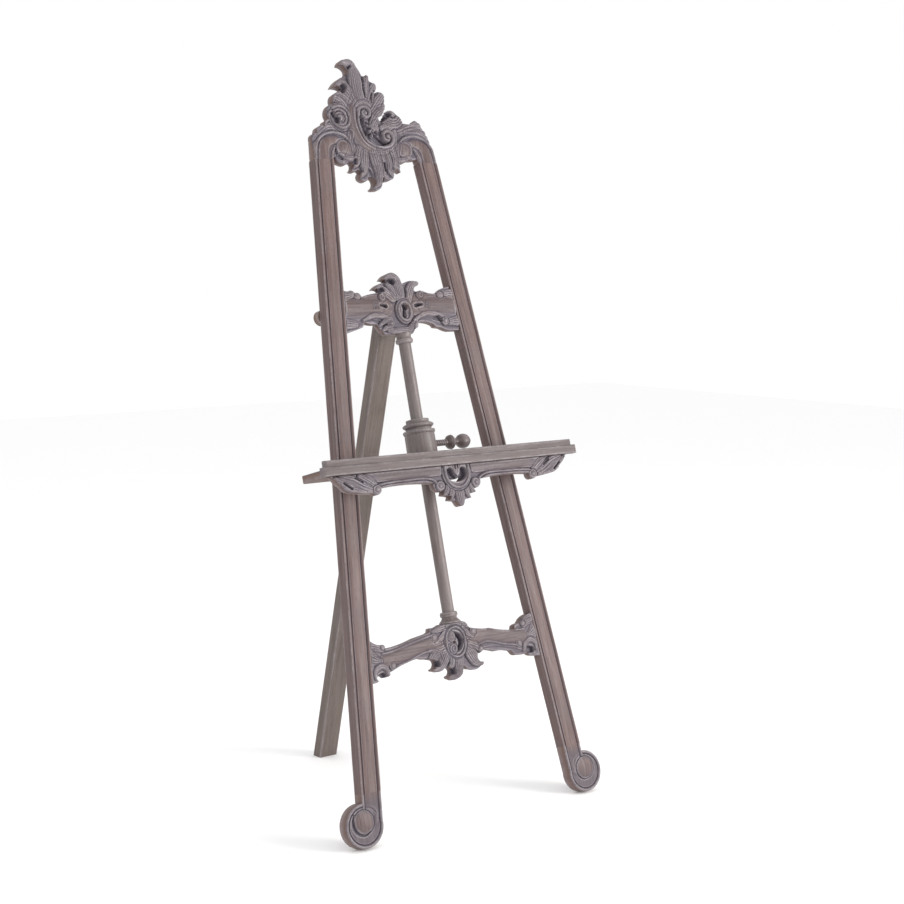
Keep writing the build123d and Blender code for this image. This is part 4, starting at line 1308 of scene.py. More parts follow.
        end = [(4, 35), (24, 33), (42, 38), (53, 50), (52, 65), (40, 73), (28, 66), (29, 54), (39, 50),
               (44, 57)]
        r.stroke(end, [2.6, 3.2, 3.6, 4.0, 4.4, 4.6, 4.2, 3.6, 3.0, 2.0],
                 [2.2, 2.6, 2.8, 3.0, 3.4, 3.2, 3.0, 3.0, 3.2, 3.0], 2.8, 0, moat=1.5)
        r.boss((39, 60), (5, 5), 3.4, 1.6, 0.8)
        r.pierce([(-13, 51.5), (-9, 48.5)], [2.6, 2.2])
        r.sink([(-24, 98), (-22, 84), (-16, 66)], [3.0, 6, 4.5], -17)

    def shell(self, r: Relief) -> None:
        """Ribbed shell on the right, with the hole behind it, and the right shoulder's leaves."""
        r.stroke([(84, 76), (112, 86), (138, 88)], [13, 15, 11], [-1.5, -1, -2], 3, 4, 1.3)
        r.stroke([(96, 72), (128, 72), (152, 62)], [9, 11, 7], [-1.5, -1.5, -3], 2.5, 3, 1.2)
        for radius, top in ((33, 0.2), (27, 1.0), (21, 1.8), (15, 2.4)):
            arc = oval((60, 114), (radius, -0.92 * radius), np.radians([22, 55, 90, 125, 150]))
            r.stroke(arc, [3.4], [top], 2.4, 0, moat=1.5)
        r.stroke([(44, 116), (58, 118), (72, 110)], [6, 8, 6], [0, 1, -0.5], 2.5, 3, 1.3)
        r.stroke([(74, 104), (84, 98)], [6, 5], [-0.5, -2], 2, 2, 1.2)
        r.sink([(42, 112), (54, 113)], [4, 3.5], -13)
        r.sink([(24, 98), (34, 104), (46, 110)], [3.5, 5.0, 3.0], -14)
        r.pierce([(24, 101), (35, 107)], [4.4, 3.6])
        r.thin([(24, 100), (40, 106), (58, 110)], [6, 9, 7], 8.0)

    def build(self, finishes: Finishes) -> None:
        """Carves the board, lowest layers first, and adopts it."""
        r = Relief(self.outline(), self.thick, ground=-7.5, pitch=1.12, round_over=3.2)
        r.stroke([(-26, 190), (-42, 130), (-45, 70), (-25, 10), (-12, -40)], [16, 44, 54, 40, 12], [-4],
                 2.5, moat=0, wall=0.5)
        r.stroke([(20, 120), (60, 80), (120, 60)], [26, 36, 26], [-4.5], 2, moat=0, wall=0.5)
        self.mouldings(r)
        middle = outer_x(self.seat) - LEVEL_WIDTH / 2
        for side in (-1, 1):
            r.stain(mirrored(side, [(middle, -12), (middle - 1, 8), (middle - 4, 20), (134, 36),
                                    (108, 45)]), [24, 22, 12, 8, 4], 1.0)
            r.stain(mirrored(side, [(86, 29), (85, 28)]), [13], 0.7)
            r.stain(mirrored(side, [(middle, -20), (middle, 10)]), [34, 30], 0.9)
        r.stain([(-48, 118), (-49, 70), (-20, 30)], [8], 0.6)
        self.hanging_leaves(r)
        self.left_scroll(r)
        self.main_stem(r)
        self.top_leaf(r)
        self.shell(r)
        self.heart(r)
        trim = np.maximum(r.z, inner_x(self.seat) - np.abs(r.x))
        obj = r.mesh("crest_carved", front_placer(self.seat), trim)
        adopt(obj, "frame", "crest", finishes, "carved_wood")


@dataclass
class Stretcher:
    """Shared shape of the two boards between the legs.

    Args:
        name: Name of the piece.
        node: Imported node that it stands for.
        seat: Height that its corners are drawn from.
        drawn: Half width between the legs that its corners are drawn for.
        ends: Heights of its ends' corners from the seat, clockwise from the top left.
        top: Corners of its upper edge.
        under: Corners of its lower edge, from the right.
        thick: Thickness of the board.
    """

    name: str
    node: str
    seat: float
    drawn: float
    ends: tuple[float, float, float, float]
    top: tuple[Corner, ...]
    under: tuple[Corner, ...]
    thick: float = 24.0

    def outline(self) -> np.ndarray:
        """Outline between the legs' inner edges, in mm, from the seat."""
        across = inner_x(self.seat + sum(self.ends) / 4) / self.drawn
        left_top, right_top, right_low, left_low = self.ends
        corners = [
            (-inner_x(self.seat + left_top), left_top, -2), *lifted(self.top, across, 0),
            (inner_x(self.seat + right_top), right_top, 0), (inner_x(self.seat + right_low), right_low, 0),
            *lifted(self.under, across, 0), (-inner_x(self.seat + left_low), left_low, 0),
        ]
        return bowed(corners)

    def carve(self, r: Relief) -> None:
        """Carves the board; each stretcher has its own pattern."""

    def build(self, finishes: Finishes) -> None:
        """Makes the board and adopts it."""
        r = Relief(self.outline(), self.thick, ground=-6.0, pitch=0.95, round_over=2.4)
        self.carve(r)
        obj = r.mesh(self.name, front_placer(self.seat))
        adopt(obj, "frame", self.node, finishes, "carved_wood_across")


@dataclass
class UpperStretcher(Stretcher):
    """Upper stretcher: a keyhole cartouche under curling leaves, between plain arms."""

    name: str = "upper_stretcher_carved"
    node: str = "upper_stretcher"
    seat: float = 1097.0
    drawn: float = 155.0
    ends: tuple[float, float, float, float] = (103.0, 109.0, 4.0, 4.0)
    top: tuple[Corner, ...] = ((-132, 102, 3), (-118, 96, 3), (-106, 92, 1), (-103, 87, 1), (-66, 95, -1),
                               (-50, 99, 0), (-52, 102, -2), (-69, 103, 4), (-34, 119, 0), (-28, 121, -2),
                               (-43, 125, 5), (-9, 141, 4), (9, 128, 1), (13, 116, 0), (20, 117, 2),
                               (46, 123, 2), (57, 118, 2), (58, 111, -2), (46, 103, -1), (52, 97, 2),
                               (74, 98, -1), (98, 92, -1), (117, 97, 1), (134, 106, 0))
    under: tuple[Corner, ...] = ((130, 4, 1), (108, 12, 0), (92, 14, 0), (87, 20, -3), (43, 26, 0),
                                 (40, 18, 2), (34, 12, 1), (24, 0, 0), (-20, 0, 0), (-54, 0, 0),
                                 (-62, 10, 1), (-72, 24, 2), (-104, 29, 0), (-110, 18, 0))

    def carve(self, r: Relief) -> None:
        """Arms and end leaves first, then the middle."""
        for side in (-1, 1):
            r.stroke(mirrored(side, [(168, 62), (110, 64), (50, 64)]), [40, 27, 26], [-2], 2.0, moat=0,
                     wall=0.8)
            r.stroke(mirrored(side, [(170, 62), (115, 66), (62, 64)]), [20, 17, 16], [0.6, 0.6, 0.8], 3.2,
                     moat=1.2)
            r.stain(mirrored(side, [(138, 66), (100, 66), (40, 66)]), [18, 22, 24], 0.75)
            r.stroke(mirrored(side, [(170, 92), (148, 90), (128, 92)]), [14, 12, 7], [-1, 0, 1], 3, 4, 1.2)
            r.stroke(mirrored(side, [(170, 28), (150, 26), (132, 24)]), [14, 12, 8], [-1, 0, 0], 3, 4, 1.2)
            r.boss((side * 116, 88), (9, 8), 0.8, 2.6, 1.6)
        for side, eye in ((-1, (-36, 24)), (1, (119, 26))):
            start, end = (-110, 33) if side < 0 else (30, 30), (-50, 40) if side < 0 else (100, 42)
            middle = ((start[0] + end[0]) / 2, 43 if side < 0 else 45)
            r.stroke([start, middle, end, (eye[0] + 2, eye[1] + 9)], [3, 6, 6, 4], [0, 1.0, 1.2, 0.8], 2.4,
                     2, 0.8, moat=1.0)
            r.boss(eye, (9.5, 9.5), 1.4, 2.6, 2.0)
            r.boss(eye, (5, 5), 2.2, 1.8, 0.8)
        r.sink([(88, 33), (100, 33), (108, 28)], [1.5, 4.5, 2.0], -11)
        r.sink([(-50, 20), (-60, 26), (-84, 33)], [3.0, 4, 1.5], -9)
        r.stroke([(-34, 34), (-50, 30), (-66, 20)], [5, 6, 3], [0.8, 0.4, -2], 2.4, 3, 1.2)
        r.stroke([(-36, 12), (-48, 14), (-60, 8)], [6, 6, 3], [0.8, 0.4, -2], 2.4, 3, 1.2)
        r.stroke([(28, 22), (12, 8), (-14, 6), (-44, 8)], [6, 8, 8, 4], [0, 1.0, 1.0, -1], 2.5, 4, 1.0)
        r.stroke([(30, 20), (35, 30), (46, 38)], [5, 6, 4], [0, 0, -1], 2.4, 2, 1.0)
        r.boss((34, 18), (6, 7), 0.8, 2.2, 1.4)
        r.stroke([(-20, 86), (-40, 98), (-54, 108), (-68, 103)], [13, 11, 8, 3], [1, 2.0, 2.0, 0.5], 3, 5,
                 1.2)
        r.stroke([(-10, 88), (-20, 104), (-30, 114)], [11, 10, 5], [1.5, 2.0, 1], 3, 4, 1.2)
        r.stroke([(4, 82), (0, 108), (-6, 126), (-22, 134), (-42, 125)], [13, 13, 11, 8, 3],
                 [1.5, 2.5, 4, 4.5, 3], 3.5, 6, 1.5)
        r.stroke([(22, 78), (30, 98), (40, 112), (54, 116)], [10, 11, 9, 5], [1, 2, 2.5, 1.5], 3, 4, 1.2)
        r.sink([(-24, 122), (-16, 119)], [2.4, 4.4], -12)
        r.sink([(-56, 101), (-46, 102)], [1.2, 3.6], -11)
        r.sink([(16, 84), (18, 98), (16, 110)], [0.8, 1.8, 1.0], -6)
        for x, z, turn in ((-50, 84, 1), (57, 89, -1)):
            r.boss((x, z), (9, 9), 0.6, 1.0, 1.2)
            r.stroke(coil((x, z), (7.5, 2.5), (0.2, 0.2 + 1.2 * turn)), [2.2, 1.6], [2.2], 1.8, 0, moat=1.2)
        r.boss((7, 51), (23, 28), 0.8, 2.0, 2.2)
        ring = oval((7, 51), (16.5, 21), np.linspace(0, 2 * math.pi, 25))
        r.stroke(ring, [3.4], [3.0], 2.6, 0, moat=1.3)
        r.boss((7, 51), (12, 16.5), -1.0, -1.0, 0.8)
        r.sink([(7, 61), (10, 59)], [3.2, 2.0], -16)
        r.sink([(7, 58), (4, 40)], [1.0, 2.2], -16)
        for side in (-1, 1):
            r.sink(mirrored(side, [(42, 64), (48, 65.5), (58, 66)]), [2.6, 1.6, 0.2], -13)
            for k in range(4):
                r.bead(mirrored(side, [(64 + 4.4 * k, 58), (66 + 4.4 * k, 72)]), 1.0, 2.2, 0.5)


@dataclass
class LowerStretcher(Stretcher):
    """Lower stretcher: a pierced cartouche over hooked leaves, with beaded arms and scrolled ends."""

    name: str = "lower_stretcher_carved"
    node: str = "lower_stretcher"
    seat: float = 436.0
    drawn: float = 232.5
    ends: tuple[float, float, float, float] = (-8.0, -8.0, -108.0, -100.0)
    top: tuple[Corner, ...] = ((-208, -21, 0), (-193, -22, 2), (-191, -31, -3), (-108, -20, 0),
                               (-72, -15, 0), (-64, -12, 0), (-62, -5, 1), (-45, -5, 0), (-31, 0, 0),
                               (30, 0, 1), (38, -8, 0), (40, -13, 0), (46, -17, -2), (98, -25, -2),
                               (172, -39, 0), (175, -30, 1), (191, -26, 0), (200, -17, 2))
    under: tuple[Corner, ...] = ((216, -105, 0), (207, -102, -4), (194, -98, 1), (176, -97, 2),
                                 (162, -93, 0), (156, -85, -2), (112, -80, -1), (80, -72, 0), (70, -75, 2),
                                 (57, -77, -3), (56, -93, -2), (69, -97, 2), (62, -107, 4), (34, -109, 2),
                                 (19, -102, -1), (9, -97, 0), (6, -111, 4), (-8, -124, 3), (-28, -122, 2),
                                 (-34, -115, -3), (-22, -106, -3), (-32, -96, -1), (-44, -100, 3),
                                 (-66, -99, 2), (-74, -94, -3), (-61, -84, -3), (-70, -73, 0),
                                 (-82, -70, 1), (-102, -65, -3), (-176, -81, 0), (-188, -84, 2),
                                 (-193, -92, 0), (-201, -93, -4), (-216, -90, 0), (-217, -98, 2))

    def carve(self, r: Relief) -> None:
        """Arms and ends first, then the leaves and the middle."""
        for side in (-1, 1):
            r.stroke(mirrored(side, [(240, -58), (180, -55), (110, -42), (40, -38)]), [50, 26, 24, 30],
                     [-2.2], 1.5, moat=0, wall=0.8)
            r.stroke(mirrored(side, [(196, -58), (150, -51), (100, -42), (56, -38)]), [15, 16, 16.5, 16],
                     [0.4], 2.2, moat=0.8)
            r.stain(mirrored(side, [(190, -56), (140, -50), (100, -42), (40, -40)]), [12], 0.65)
            r.bead(mirrored(side, [(200, -41), (176, -40), (130, -31), (84, -23), (62, -20)]), 1.9, 1.4,
                   1.0)
            r.bead(mirrored(side, [(172, -74), (132, -66), (106, -58), (84, -54), (62, -57)]), 1.9, 1.6,
                   1.0)
            r.stroke(mirrored(side, [(232, -18), (214, -22), (200, -32)]), [14, 13, 7], [-1, 0.4, 0.8], 3,
                     5, 1.1)
            r.stroke(mirrored(side, [(234, -46), (222, -52), (210, -56)]), [18, 14, 7], [-1, 0.2, 0], 3, 5,
                     1.1)
            r.boss((side * 198, -28), (6.5, 6), 1.6, 2.6, 1.4)
            arc = mirrored(side, [(227, -92), (225, -76), (211, -67), (197, -73), (191, -88)])
            r.stroke(arc, [3.0, 5.5, 6.5, 6.5, 4.5], [1.0, 2.0, 2.4, 2.0, 0.8], 3.0, 2, 0.9, moat=1.2)
            r.sink(mirrored(side, [(214, -91), (205, -89)]), [5.5, 6.0], -14)
            r.boss((side * 178, -71), (8.5, 8.5), 0.6, 1.4, 1.4)
            r.boss((side * 178, -71), (5.5, 5.5), 2.0, 2.0, 1.0)
        r.stroke([(-34, -58), (-54, -62), (-70, -72), (-76, -90)], [14, 15, 11, 5], [1, 2, 1.0, 0.5], 3, 5,
                 1.2)
        r.stroke([(-30, -66), (-42, -80), (-54, -92), (-70, -96)], [13, 13, 10, 4], [1, 2.4, 3.2, 2.4], 3.2,
                 5, 1.3)
        r.bead([(-84, -53), (-64, -53), (-48, -62), (-44, -76)], 1.6, 3.0, 0.8)
        r.stroke([(30, -56), (38, -74), (48, -92), (64, -100)], [12, 15, 13, 5], [1, 2.2, 3.0, 2], 3.2, 6,
                 1.3)
        r.stroke([(38, -52), (54, -60), (66, -70)], [8, 9, 6], [0.8, 1.4, 0.8], 2.6, 3, 1.2)
        r.boss((66, -68), (6.5, 6.5), 1.8, 2.4, 1.2)
        r.stroke([(-14, -72), (-16, -88), (-26, -97)], [12, 10, 5], [0.5, 1.2, 0], 3, 3, 1.2)
        r.stroke([(6, -68), (0, -92), (-4, -110), (-18, -119), (-32, -117)], [12, 12, 11, 7, 3],
                 [1.5, 3, 4, 4, 2.5], 3.4, 6, 1.4)
        r.sink([(-72, -80), (-60, -84)], [2.5, 4.5], -13)
        r.sink([(-33, -107), (-20, -106)], [2.0, 4.8], -13)
        r.sink([(57, -86), (62, -88)], [3.0, 2.0], -7)
        for side, x in ((-1, -58), (1, 52)):
            r.stroke([(side * 22, -8), (side * 40, -10), (x - side * 1, -14)], [8, 7, 5], [0.5, 1.4, 1.0],
                     2.6, 3, 1.1)
            r.stroke([(side * 24, -16), (side * 36, -28), (x - side * 4, -36)], [6, 7, 5], [0.5, 1.2, 0.5],
                     2.4, 3, 1.1)
            r.boss((x, -26), (9, 9), 0.8, 1.2, 1.6)
            r.boss((x, -26), (6, 6), 2.0, 2.0, 1.0)
        r.stroke([(-16, -6), (0, -3), (16, -6)], [6, 7, 6], [0, 0.5, 0], 2.4, 3, 1.2)
        r.boss((-1, -43), (31, 38), 0.6, 1.6, 1.4)
        ring = oval((-1, -43), (26.0, 33.0), np.linspace(0, 2 * math.pi, 31))
        r.stroke(ring, [2.6], [2.8], 2.2, 0, moat=1.4)
        r.boss((-1, -43), (22.5, 29.0), 0.4, 1.0, 0.8)
        r.sink([(-1, -24), (9, -32), (13, -44), (9, -55), (2, -62)], [0.6, 3.0, 4.2, 3.0, 0.6], -17)
        r.boss((-11, -30), (10.5, 11.5), 1.6, 2.0, 1.8)
        r.boss((-11.5, -57), (12.5, 12.5), 1.6, 1.6, 1.8)
        r.stroke(coil((-10, -57), (9.5, 3), (0.6, -0.7)), [2.4, 2.0], [3.0, 3.2], 2.2, 0, moat=1.5)
        r.thin([(-4, -44), (14, -44)], [9, 9], 14.0)
        r.pierce([(-5.5, -43.5), (-3, -43.5)], [1.7])


@dataclass
class Apron:
    """Carved apron under the shelf's front: a pierced medallion, arched sides and leafy corners.

    Args:
        seat: Height of its upper edge.
        front: Depth of its front plane.
        length: Length of the fascia above it.
        share: Its length over the fascia's.
        drawn: Half length that its corners are drawn for.
        thick: Thickness of the board.
    """

    seat: float = 777.0
    front: float = -102.5
    length: float = 700.0
    share: float = 0.937
    drawn: float = 328.0
    thick: float = 24.0
    half: tuple[Corner, ...] = (
        (328, 0, 0), (318, -9, 1), (304, -22, 3), (284, -37, 1), (228, -44, 0), (222, -48, 6),
        (206, -35, -4), (66, -36, 4), (55, -54, 1), (41, -55, 0), (45, -64, 0), (25, -68, 0),
        (29, -76, 0), (11, -79, 13),
    )

    def outline(self) -> np.ndarray:
        """Outline, the same on both sides of its middle, in mm, from its upper edge."""
        right = lifted(self.half, self.length / 2 / self.drawn * self.share, 0)
        swells = [swell for _, _, swell in right[:-1]]
        left = [(-x, z, swell) for (x, z, _), swell in zip(reversed(right), swells[::-1] + [0.0])]
        return bowed(right + left)

    def carve(self, r: Relief) -> None:
        """Corner leaves, arches, medallion and pendant, mirrored about the middle."""
        for side in (-1, 1):
            r.stroke(mirrored(side, [(232, -8), (150, -8), (50, -8)]), [13], [0.4, 0.4, 0.0], 2.0, moat=0.6)
            r.stain(mirrored(side, [(200, -12), (150, -12), (60, -12)]), [10], 0.4)
            r.bead(mirrored(side, [(214, -30), (196, -26), (140, -24), (90, -24), (66, -30), (52, -44)]),
                   2.3, 1.6, 1.6)
            r.bead(mirrored(side, [(212, -36), (196, -31), (140, -29.5), (90, -30), (70, -36)]), 1.8, 0.8,
                   1.2)
            r.stroke(mirrored(side, [(226, -38), (250, -30), (276, -14), (304, -4)]), [9, 13, 12, 8],
                     [0.5, 1.5, 1, 0], 3, 4, 1.5)
            r.stroke(mirrored(side, [(236, -40), (262, -34), (288, -22), (318, -6)]), [6, 9, 9, 5],
                     [0.5, 1.6, 1.5, 0], 2.6, 3, 1.4)
            r.stroke(mirrored(side, [(250, -42), (272, -36), (294, -26)]), [4, 6, 5], [0, 0.8, 0], 2.4, 2,
                     1.2)
            r.stroke(mirrored(side, [(222, -26), (238, -14), (256, -4)]), [7, 9, 6], [0.5, 1, 0], 2.6, 3,
                     1.3)
            r.boss((side * 217, -37), (11, 10), 1.6, 3.0, 2.2)
            r.boss((side * 217, -37), (5.5, 5.0), 2.4, 2.0, 1.2)
            r.sink(mirrored(side, [(252, -18), (270, -8)]), [1.2, 0.8], -6)
            r.sink(mirrored(side, [(282, -30), (300, -17)]), [1.4, 0.8], -7)
            r.stroke(mirrored(side, [(30, -48), (36, -58), (42, -64)]), [7, 7, 4], [0.5, 1, 0], 2.6, 3, 1.4)
            r.stroke(mirrored(side, [(18, -50), (22, -64), (27, -74)]), [7, 8, 4], [0.8, 1.5, 0.5], 2.6, 3,
                     1.4)
            r.boss((side * 49, -43), (11, 10.5), 1.4, 3.0, 2.4)
            r.boss((side * 50, -43), (5, 5), 2.2, 2.0, 1.2)
        r.stroke([(0, -44), (0, -66), (0, -88)], [12, 13, 9], [1, 2.5, 2.0], 3.2, 5, 1.6)
        r.boss((0, -16), (39, 41), 0.8, 2.4, 3.2)
        ring = oval((0, -16), (32, 34), np.linspace(-math.pi, 0, 25))
        r.bead([(-32, -1), *ring, (32, -1)], 3.0, 2.8, 1.6)
        r.boss((0, -15), (26, 27), 0.5, 2.0, 0.8)
        r.stroke([(0, -2), (0, -14), (0, -24)], [9, 8, 4], [1.6, 1.8, 0.5], 2.6, 2, 1.4)
        for side in (-1, 1):
            r.sink(mirrored(side, [(18, -15), (17, -21), (12, -27), (4, -31)]), [6.5, 7.5, 6, 3.5], -15)
            r.sink(mirrored(side, [(3.5, 0), (3.5, -8)]), [0.9, 0.5], -4)
        r.pierce([(-17, -27), (-9, -32.5), (0, -34), (9, -32.5), (17, -27)], [1.2, 3.0, 3.6, 3.0, 1.2])

    def build(self, finishes: Finishes) -> None:
        """Carves the apron and adopts it."""
        r = Relief(self.outline(), self.thick, ground=-5.0, pitch=0.95, round_over=2.2)
        self.carve(r)
        obj = r.mesh("apron_carved", front_placer(self.seat, self.front))
        adopt(obj, "tray", "tray_apron", finishes, "carved_wood_across")


# ---- legs and feet ----
def leg_front(offset: np.ndarray) -> np.ndarray:
    """Depth of a leg's front at a sideways offset from its middle, in mm.

    A crown 2.2 (a / 14)^2 deep, a V groove about a = 17 and a bead out to the edge.
    """
    a = np.abs(offset)
    crown = 2.2 * (a / 14.0) ** 2
    bead = 0.6 + 1.5 * ((a - 22.2) / 2.8) ** 2
    groove = 4.4 - 2.4 * np.maximum(np.abs(a - 17.0) - 0.7, 0)
    return np.maximum(np.where(a < 17.0, crown, bead), groove)


@dataclass
class Leg:
    """One moulded front leg, from its volute foot to the crest.

    Args:
        side: -1 for the left leg, 1 for the right.
        join: Height where the straight moulding goes over into the foot.
        radius: Radius of the volute.
        inset: Volute's middle inside the leg's outer edge at height 0.
        groove: Radius of the groove round the volute's disc.
        hollow: Radius of the lowest line of the hollow rim outside the groove.
        eye: Place of the button in the volute, across measured to the leg's own side.
        ease_back: Rounding of the back edges.
    """

    side: int
    join: float = 112.0
    radius: float = 47.0
    inset: float = 8.5
    groove: float = 38.8
    hollow: float = 44.2
    eye: tuple[float, float] = (313, 55)
    ease_back: float = 1.8

    @property
    def word(self) -> str:
        """Left or right."""
        return "left" if self.side < 0 else "right"

    def middle(self, height: np.ndarray) -> np.ndarray:
        """Distance of the leg's middle line from the easel's, in mm."""
        return LEG_SPREAD / 2 - LEVEL_WIDTH / 2 - height * math.tan(LEG_TAPER)

    def bar(self, finishes: Finishes) -> None:
        """Straight moulded bar: its section carried along the leg, with slight plane marks."""
        offset = np.linspace(-LEG_WIDTH / 2, LEG_WIDTH / 2, 117)
        front = np.stack([offset, leg_front(offset)], 1)
        half = LEG_WIDTH / 2
        back = rounded([(half, 3.0, 0), (half, LEG_THICK, self.ease_back),
                        (-half, LEG_THICK, self.ease_back), (-half, 3.0, 0)], closed=False)
        section = np.vstack([front, divided(back, 4.0, closed=False)])
        height = np.linspace(self.join, LEG_HEIGHT, 150)[:, None]
        u, depth = section[None, :, 0], section[None, :, 1]
        marks = 0.18 * np.sin(height / 19.0 + 0.7 * np.sin(height / 53.0)) * np.sin(u / 9.0 + height / 71.0)
        x = self.side * self.middle(height) + u * LEVEL_WIDTH / LEG_WIDTH
        grid = STANCE.place(x, depth + marks * (depth < 3.0), height + 0 * u)
        # The V groove's depth places the lime and the painted shade in it.
        dip = np.clip((leg_front(offset) - 2.5) / 1.9, 0, 1)
        recess = np.concatenate([dip, np.zeros(len(section) - len(front))])[None]
        a = np.abs(section[:, 0])
        ahead = section[:, 1] < 3
        # Pale edges on the outer bead and the crown's rim: partly real wear, partly a painted highlight along the
        # bead.
        edge = np.exp(-((a - 24.0) / 1.3) ** 2) * ahead
        edge = edge + 0.6 * np.exp(-((a - 14.6) / 0.8) ** 2) * ahead
        edge += 0.7 * (section[:, 1] > LEG_THICK - 2.0) * (a > half - 2.0)
        patch = 0.75 + 0.25 * np.sin(height / 61.0 + self.side) * np.sin(height / 17.0)
        obj = surface(f"leg_{self.word}_moulded", [grid], marks={
            "wear": [edge[None] * patch], "recess": [recess], "depth": [0.5 * recess],
        })
        adopt(obj, "frame", f"leg_{self.word}", finishes, f"moulded_wood_{self.word}")

    def foot(self, finishes: Finishes) -> None:
        """Volute foot, carved in one with the leg's last stretch."""
        side = self.side
        centre = LEG_SPREAD / 2 - self.inset
        angle = np.linspace(0, 2 * math.pi, 181)[:-1]
        disc = np.stack([side * centre + self.radius * np.cos(angle), self.radius * (1 + np.sin(angle))], 1)
        above = self.join + 12.0
        bar = np.array([(side * outer_x(z), z) for z in (self.radius, above)]
                       + [(side * inner_x(z), z) for z in (above, self.radius)])
        bar = divided(bar, 3.0)
        r = Relief(disc, LEG_THICK, ground=-3.2, pitch=0.8, round_over=1.6, united=bar)
        q = np.minimum(np.hypot(r.x - side * centre, r.z - self.radius), self.radius)
        u = side * r.x - self.middle(r.z)
        rim = 0.6 + 1.5 * ((q - self.hollow) / 2.8) ** 2
        groove = 4.4 - 2.4 * np.maximum(np.abs(q - self.groove) - 0.7, 0)
        volute = -np.maximum(np.where(q < self.groove, 3.0, rim), groove)
        moulding = -leg_front(np.clip(u, -LEG_WIDTH / 2, LEG_WIDTH / 2))
        blend = ease((r.z - 52.0) / 44.0) * ease((26.5 - u) / 3.0)
        inner_side = ease((-u - 2.0) / 10.0) * ease((r.z - 38.0) / 16.0)
        r.height = volute + (moulding - volute) * np.maximum(blend, inner_side)
        eye = (side * self.eye[0], self.eye[1])
        r.boss(eye, (25, 25), 0.2, 3.0, 2.0)
        if side < 0:
            r.sink(mirrored(side, [(335, 74), (339.5, 60), (338, 44), (328, 32), (313, 27.5), (299, 33)]),
                   [0.5, 2.2, 3.0, 2.2, 1.2, 0.4], -7.5)
        else:
            r.sink([(318, 82), (302, 79), (290, 68), (286.5, 54), (291, 38), (304, 29), (320, 29)],
                   [0.2, 0.5, 0.8, 0.9, 0.8, 0.5, 0.2], -6.0)
        r.brown = np.maximum(ease((r.z - 88.0) / 24.0),
                             0.8 * ease((24.0 - np.hypot(r.x - eye[0], r.z - eye[1])) / 6.0))
        trim = self.join - r.z
        obj = r.mesh(f"foot_{self.word}_volute", self.on_floor, trim)
        adopt(obj, "frame", f"foot_scroll_{self.word}", finishes, "carved_wood")

    def on_floor(self, x: np.ndarray, depth: np.ndarray, height: np.ndarray) -> np.ndarray:
        """Front frame's place, worn flat where it would go below the floor."""
        points = STANCE.place(x, depth, height)
        points[..., 2] = np.maximum(points[..., 2], 0.0)
        return points

    def build(self, finishes: Finishes) -> None:
        """Makes the bar and the foot."""
        self.bar(finishes)
        self.foot(finishes)


# ---- post ----
@dataclass
class Post:
    """Turned post between the stretchers, with its base and capital.

    Args:
        low: Height of its foot.
        high: Height of its top.
        radius: Its radius.
    """

    low: float = 436.0
    high: float = 1097.0
    radius: float = 14.0

    def build(self, finishes: Finishes) -> None:
        """Turns the three pieces and adopts them."""
        axis, r = Axis(), self.radius
        along = np.linspace(self.low, self.high, 220)
        shaft = np.stack([r - 0.06 + 0.07 * np.sin(along / 47.0) + 0.05 * np.sin(along / 11.0), along], 1)
        adopt(turned("post_turned", [shaft], axis), "frame", "post", finishes, "turned_wood")
        z = self.low
        base = rounded([(r - 0.5, z, 0.2), (r + 11, z, 0.8), (r + 10.6, z + 2.4, 1.2),
                        (r + 4.4, z + 8.5, 3.5), (r + 2.6, z + 13, 0.8), (r + 4.2, z + 13.6, 0.8),
                        (r + 5.9, z + 16, 1.5), (r + 5.9, z + 22.5, 1.8), (r + 3.6, z + 25, 1.2),
                        (r - 0.5, z + 25, 0.2)], 6)
        obj = turned("post_base_turned", [divided(base, 1.5)], axis, True)
        adopt(obj, "frame", "post_base", finishes, "turned_wood")
        z = self.high
        capital = rounded([(r - 0.5, z - 22, 0.2), (r + 3.2, z - 22, 1.0), (r + 5.9, z - 19.5, 1.8),
                           (r + 5.9, z - 13.5, 1.8), (r + 3.6, z - 11, 0.8), (r + 2.4, z - 8, 1.8),
                           (r + 4.3, z - 1, 1.2), (r + 4.5, z, 0.3), (r - 0.5, z, 0.2)], 6)
        obj = turned("post_capital_turned", [divided(capital, 1.5)], axis, True)
        adopt(obj, "frame", "post_capital", finishes, "turned_wood")


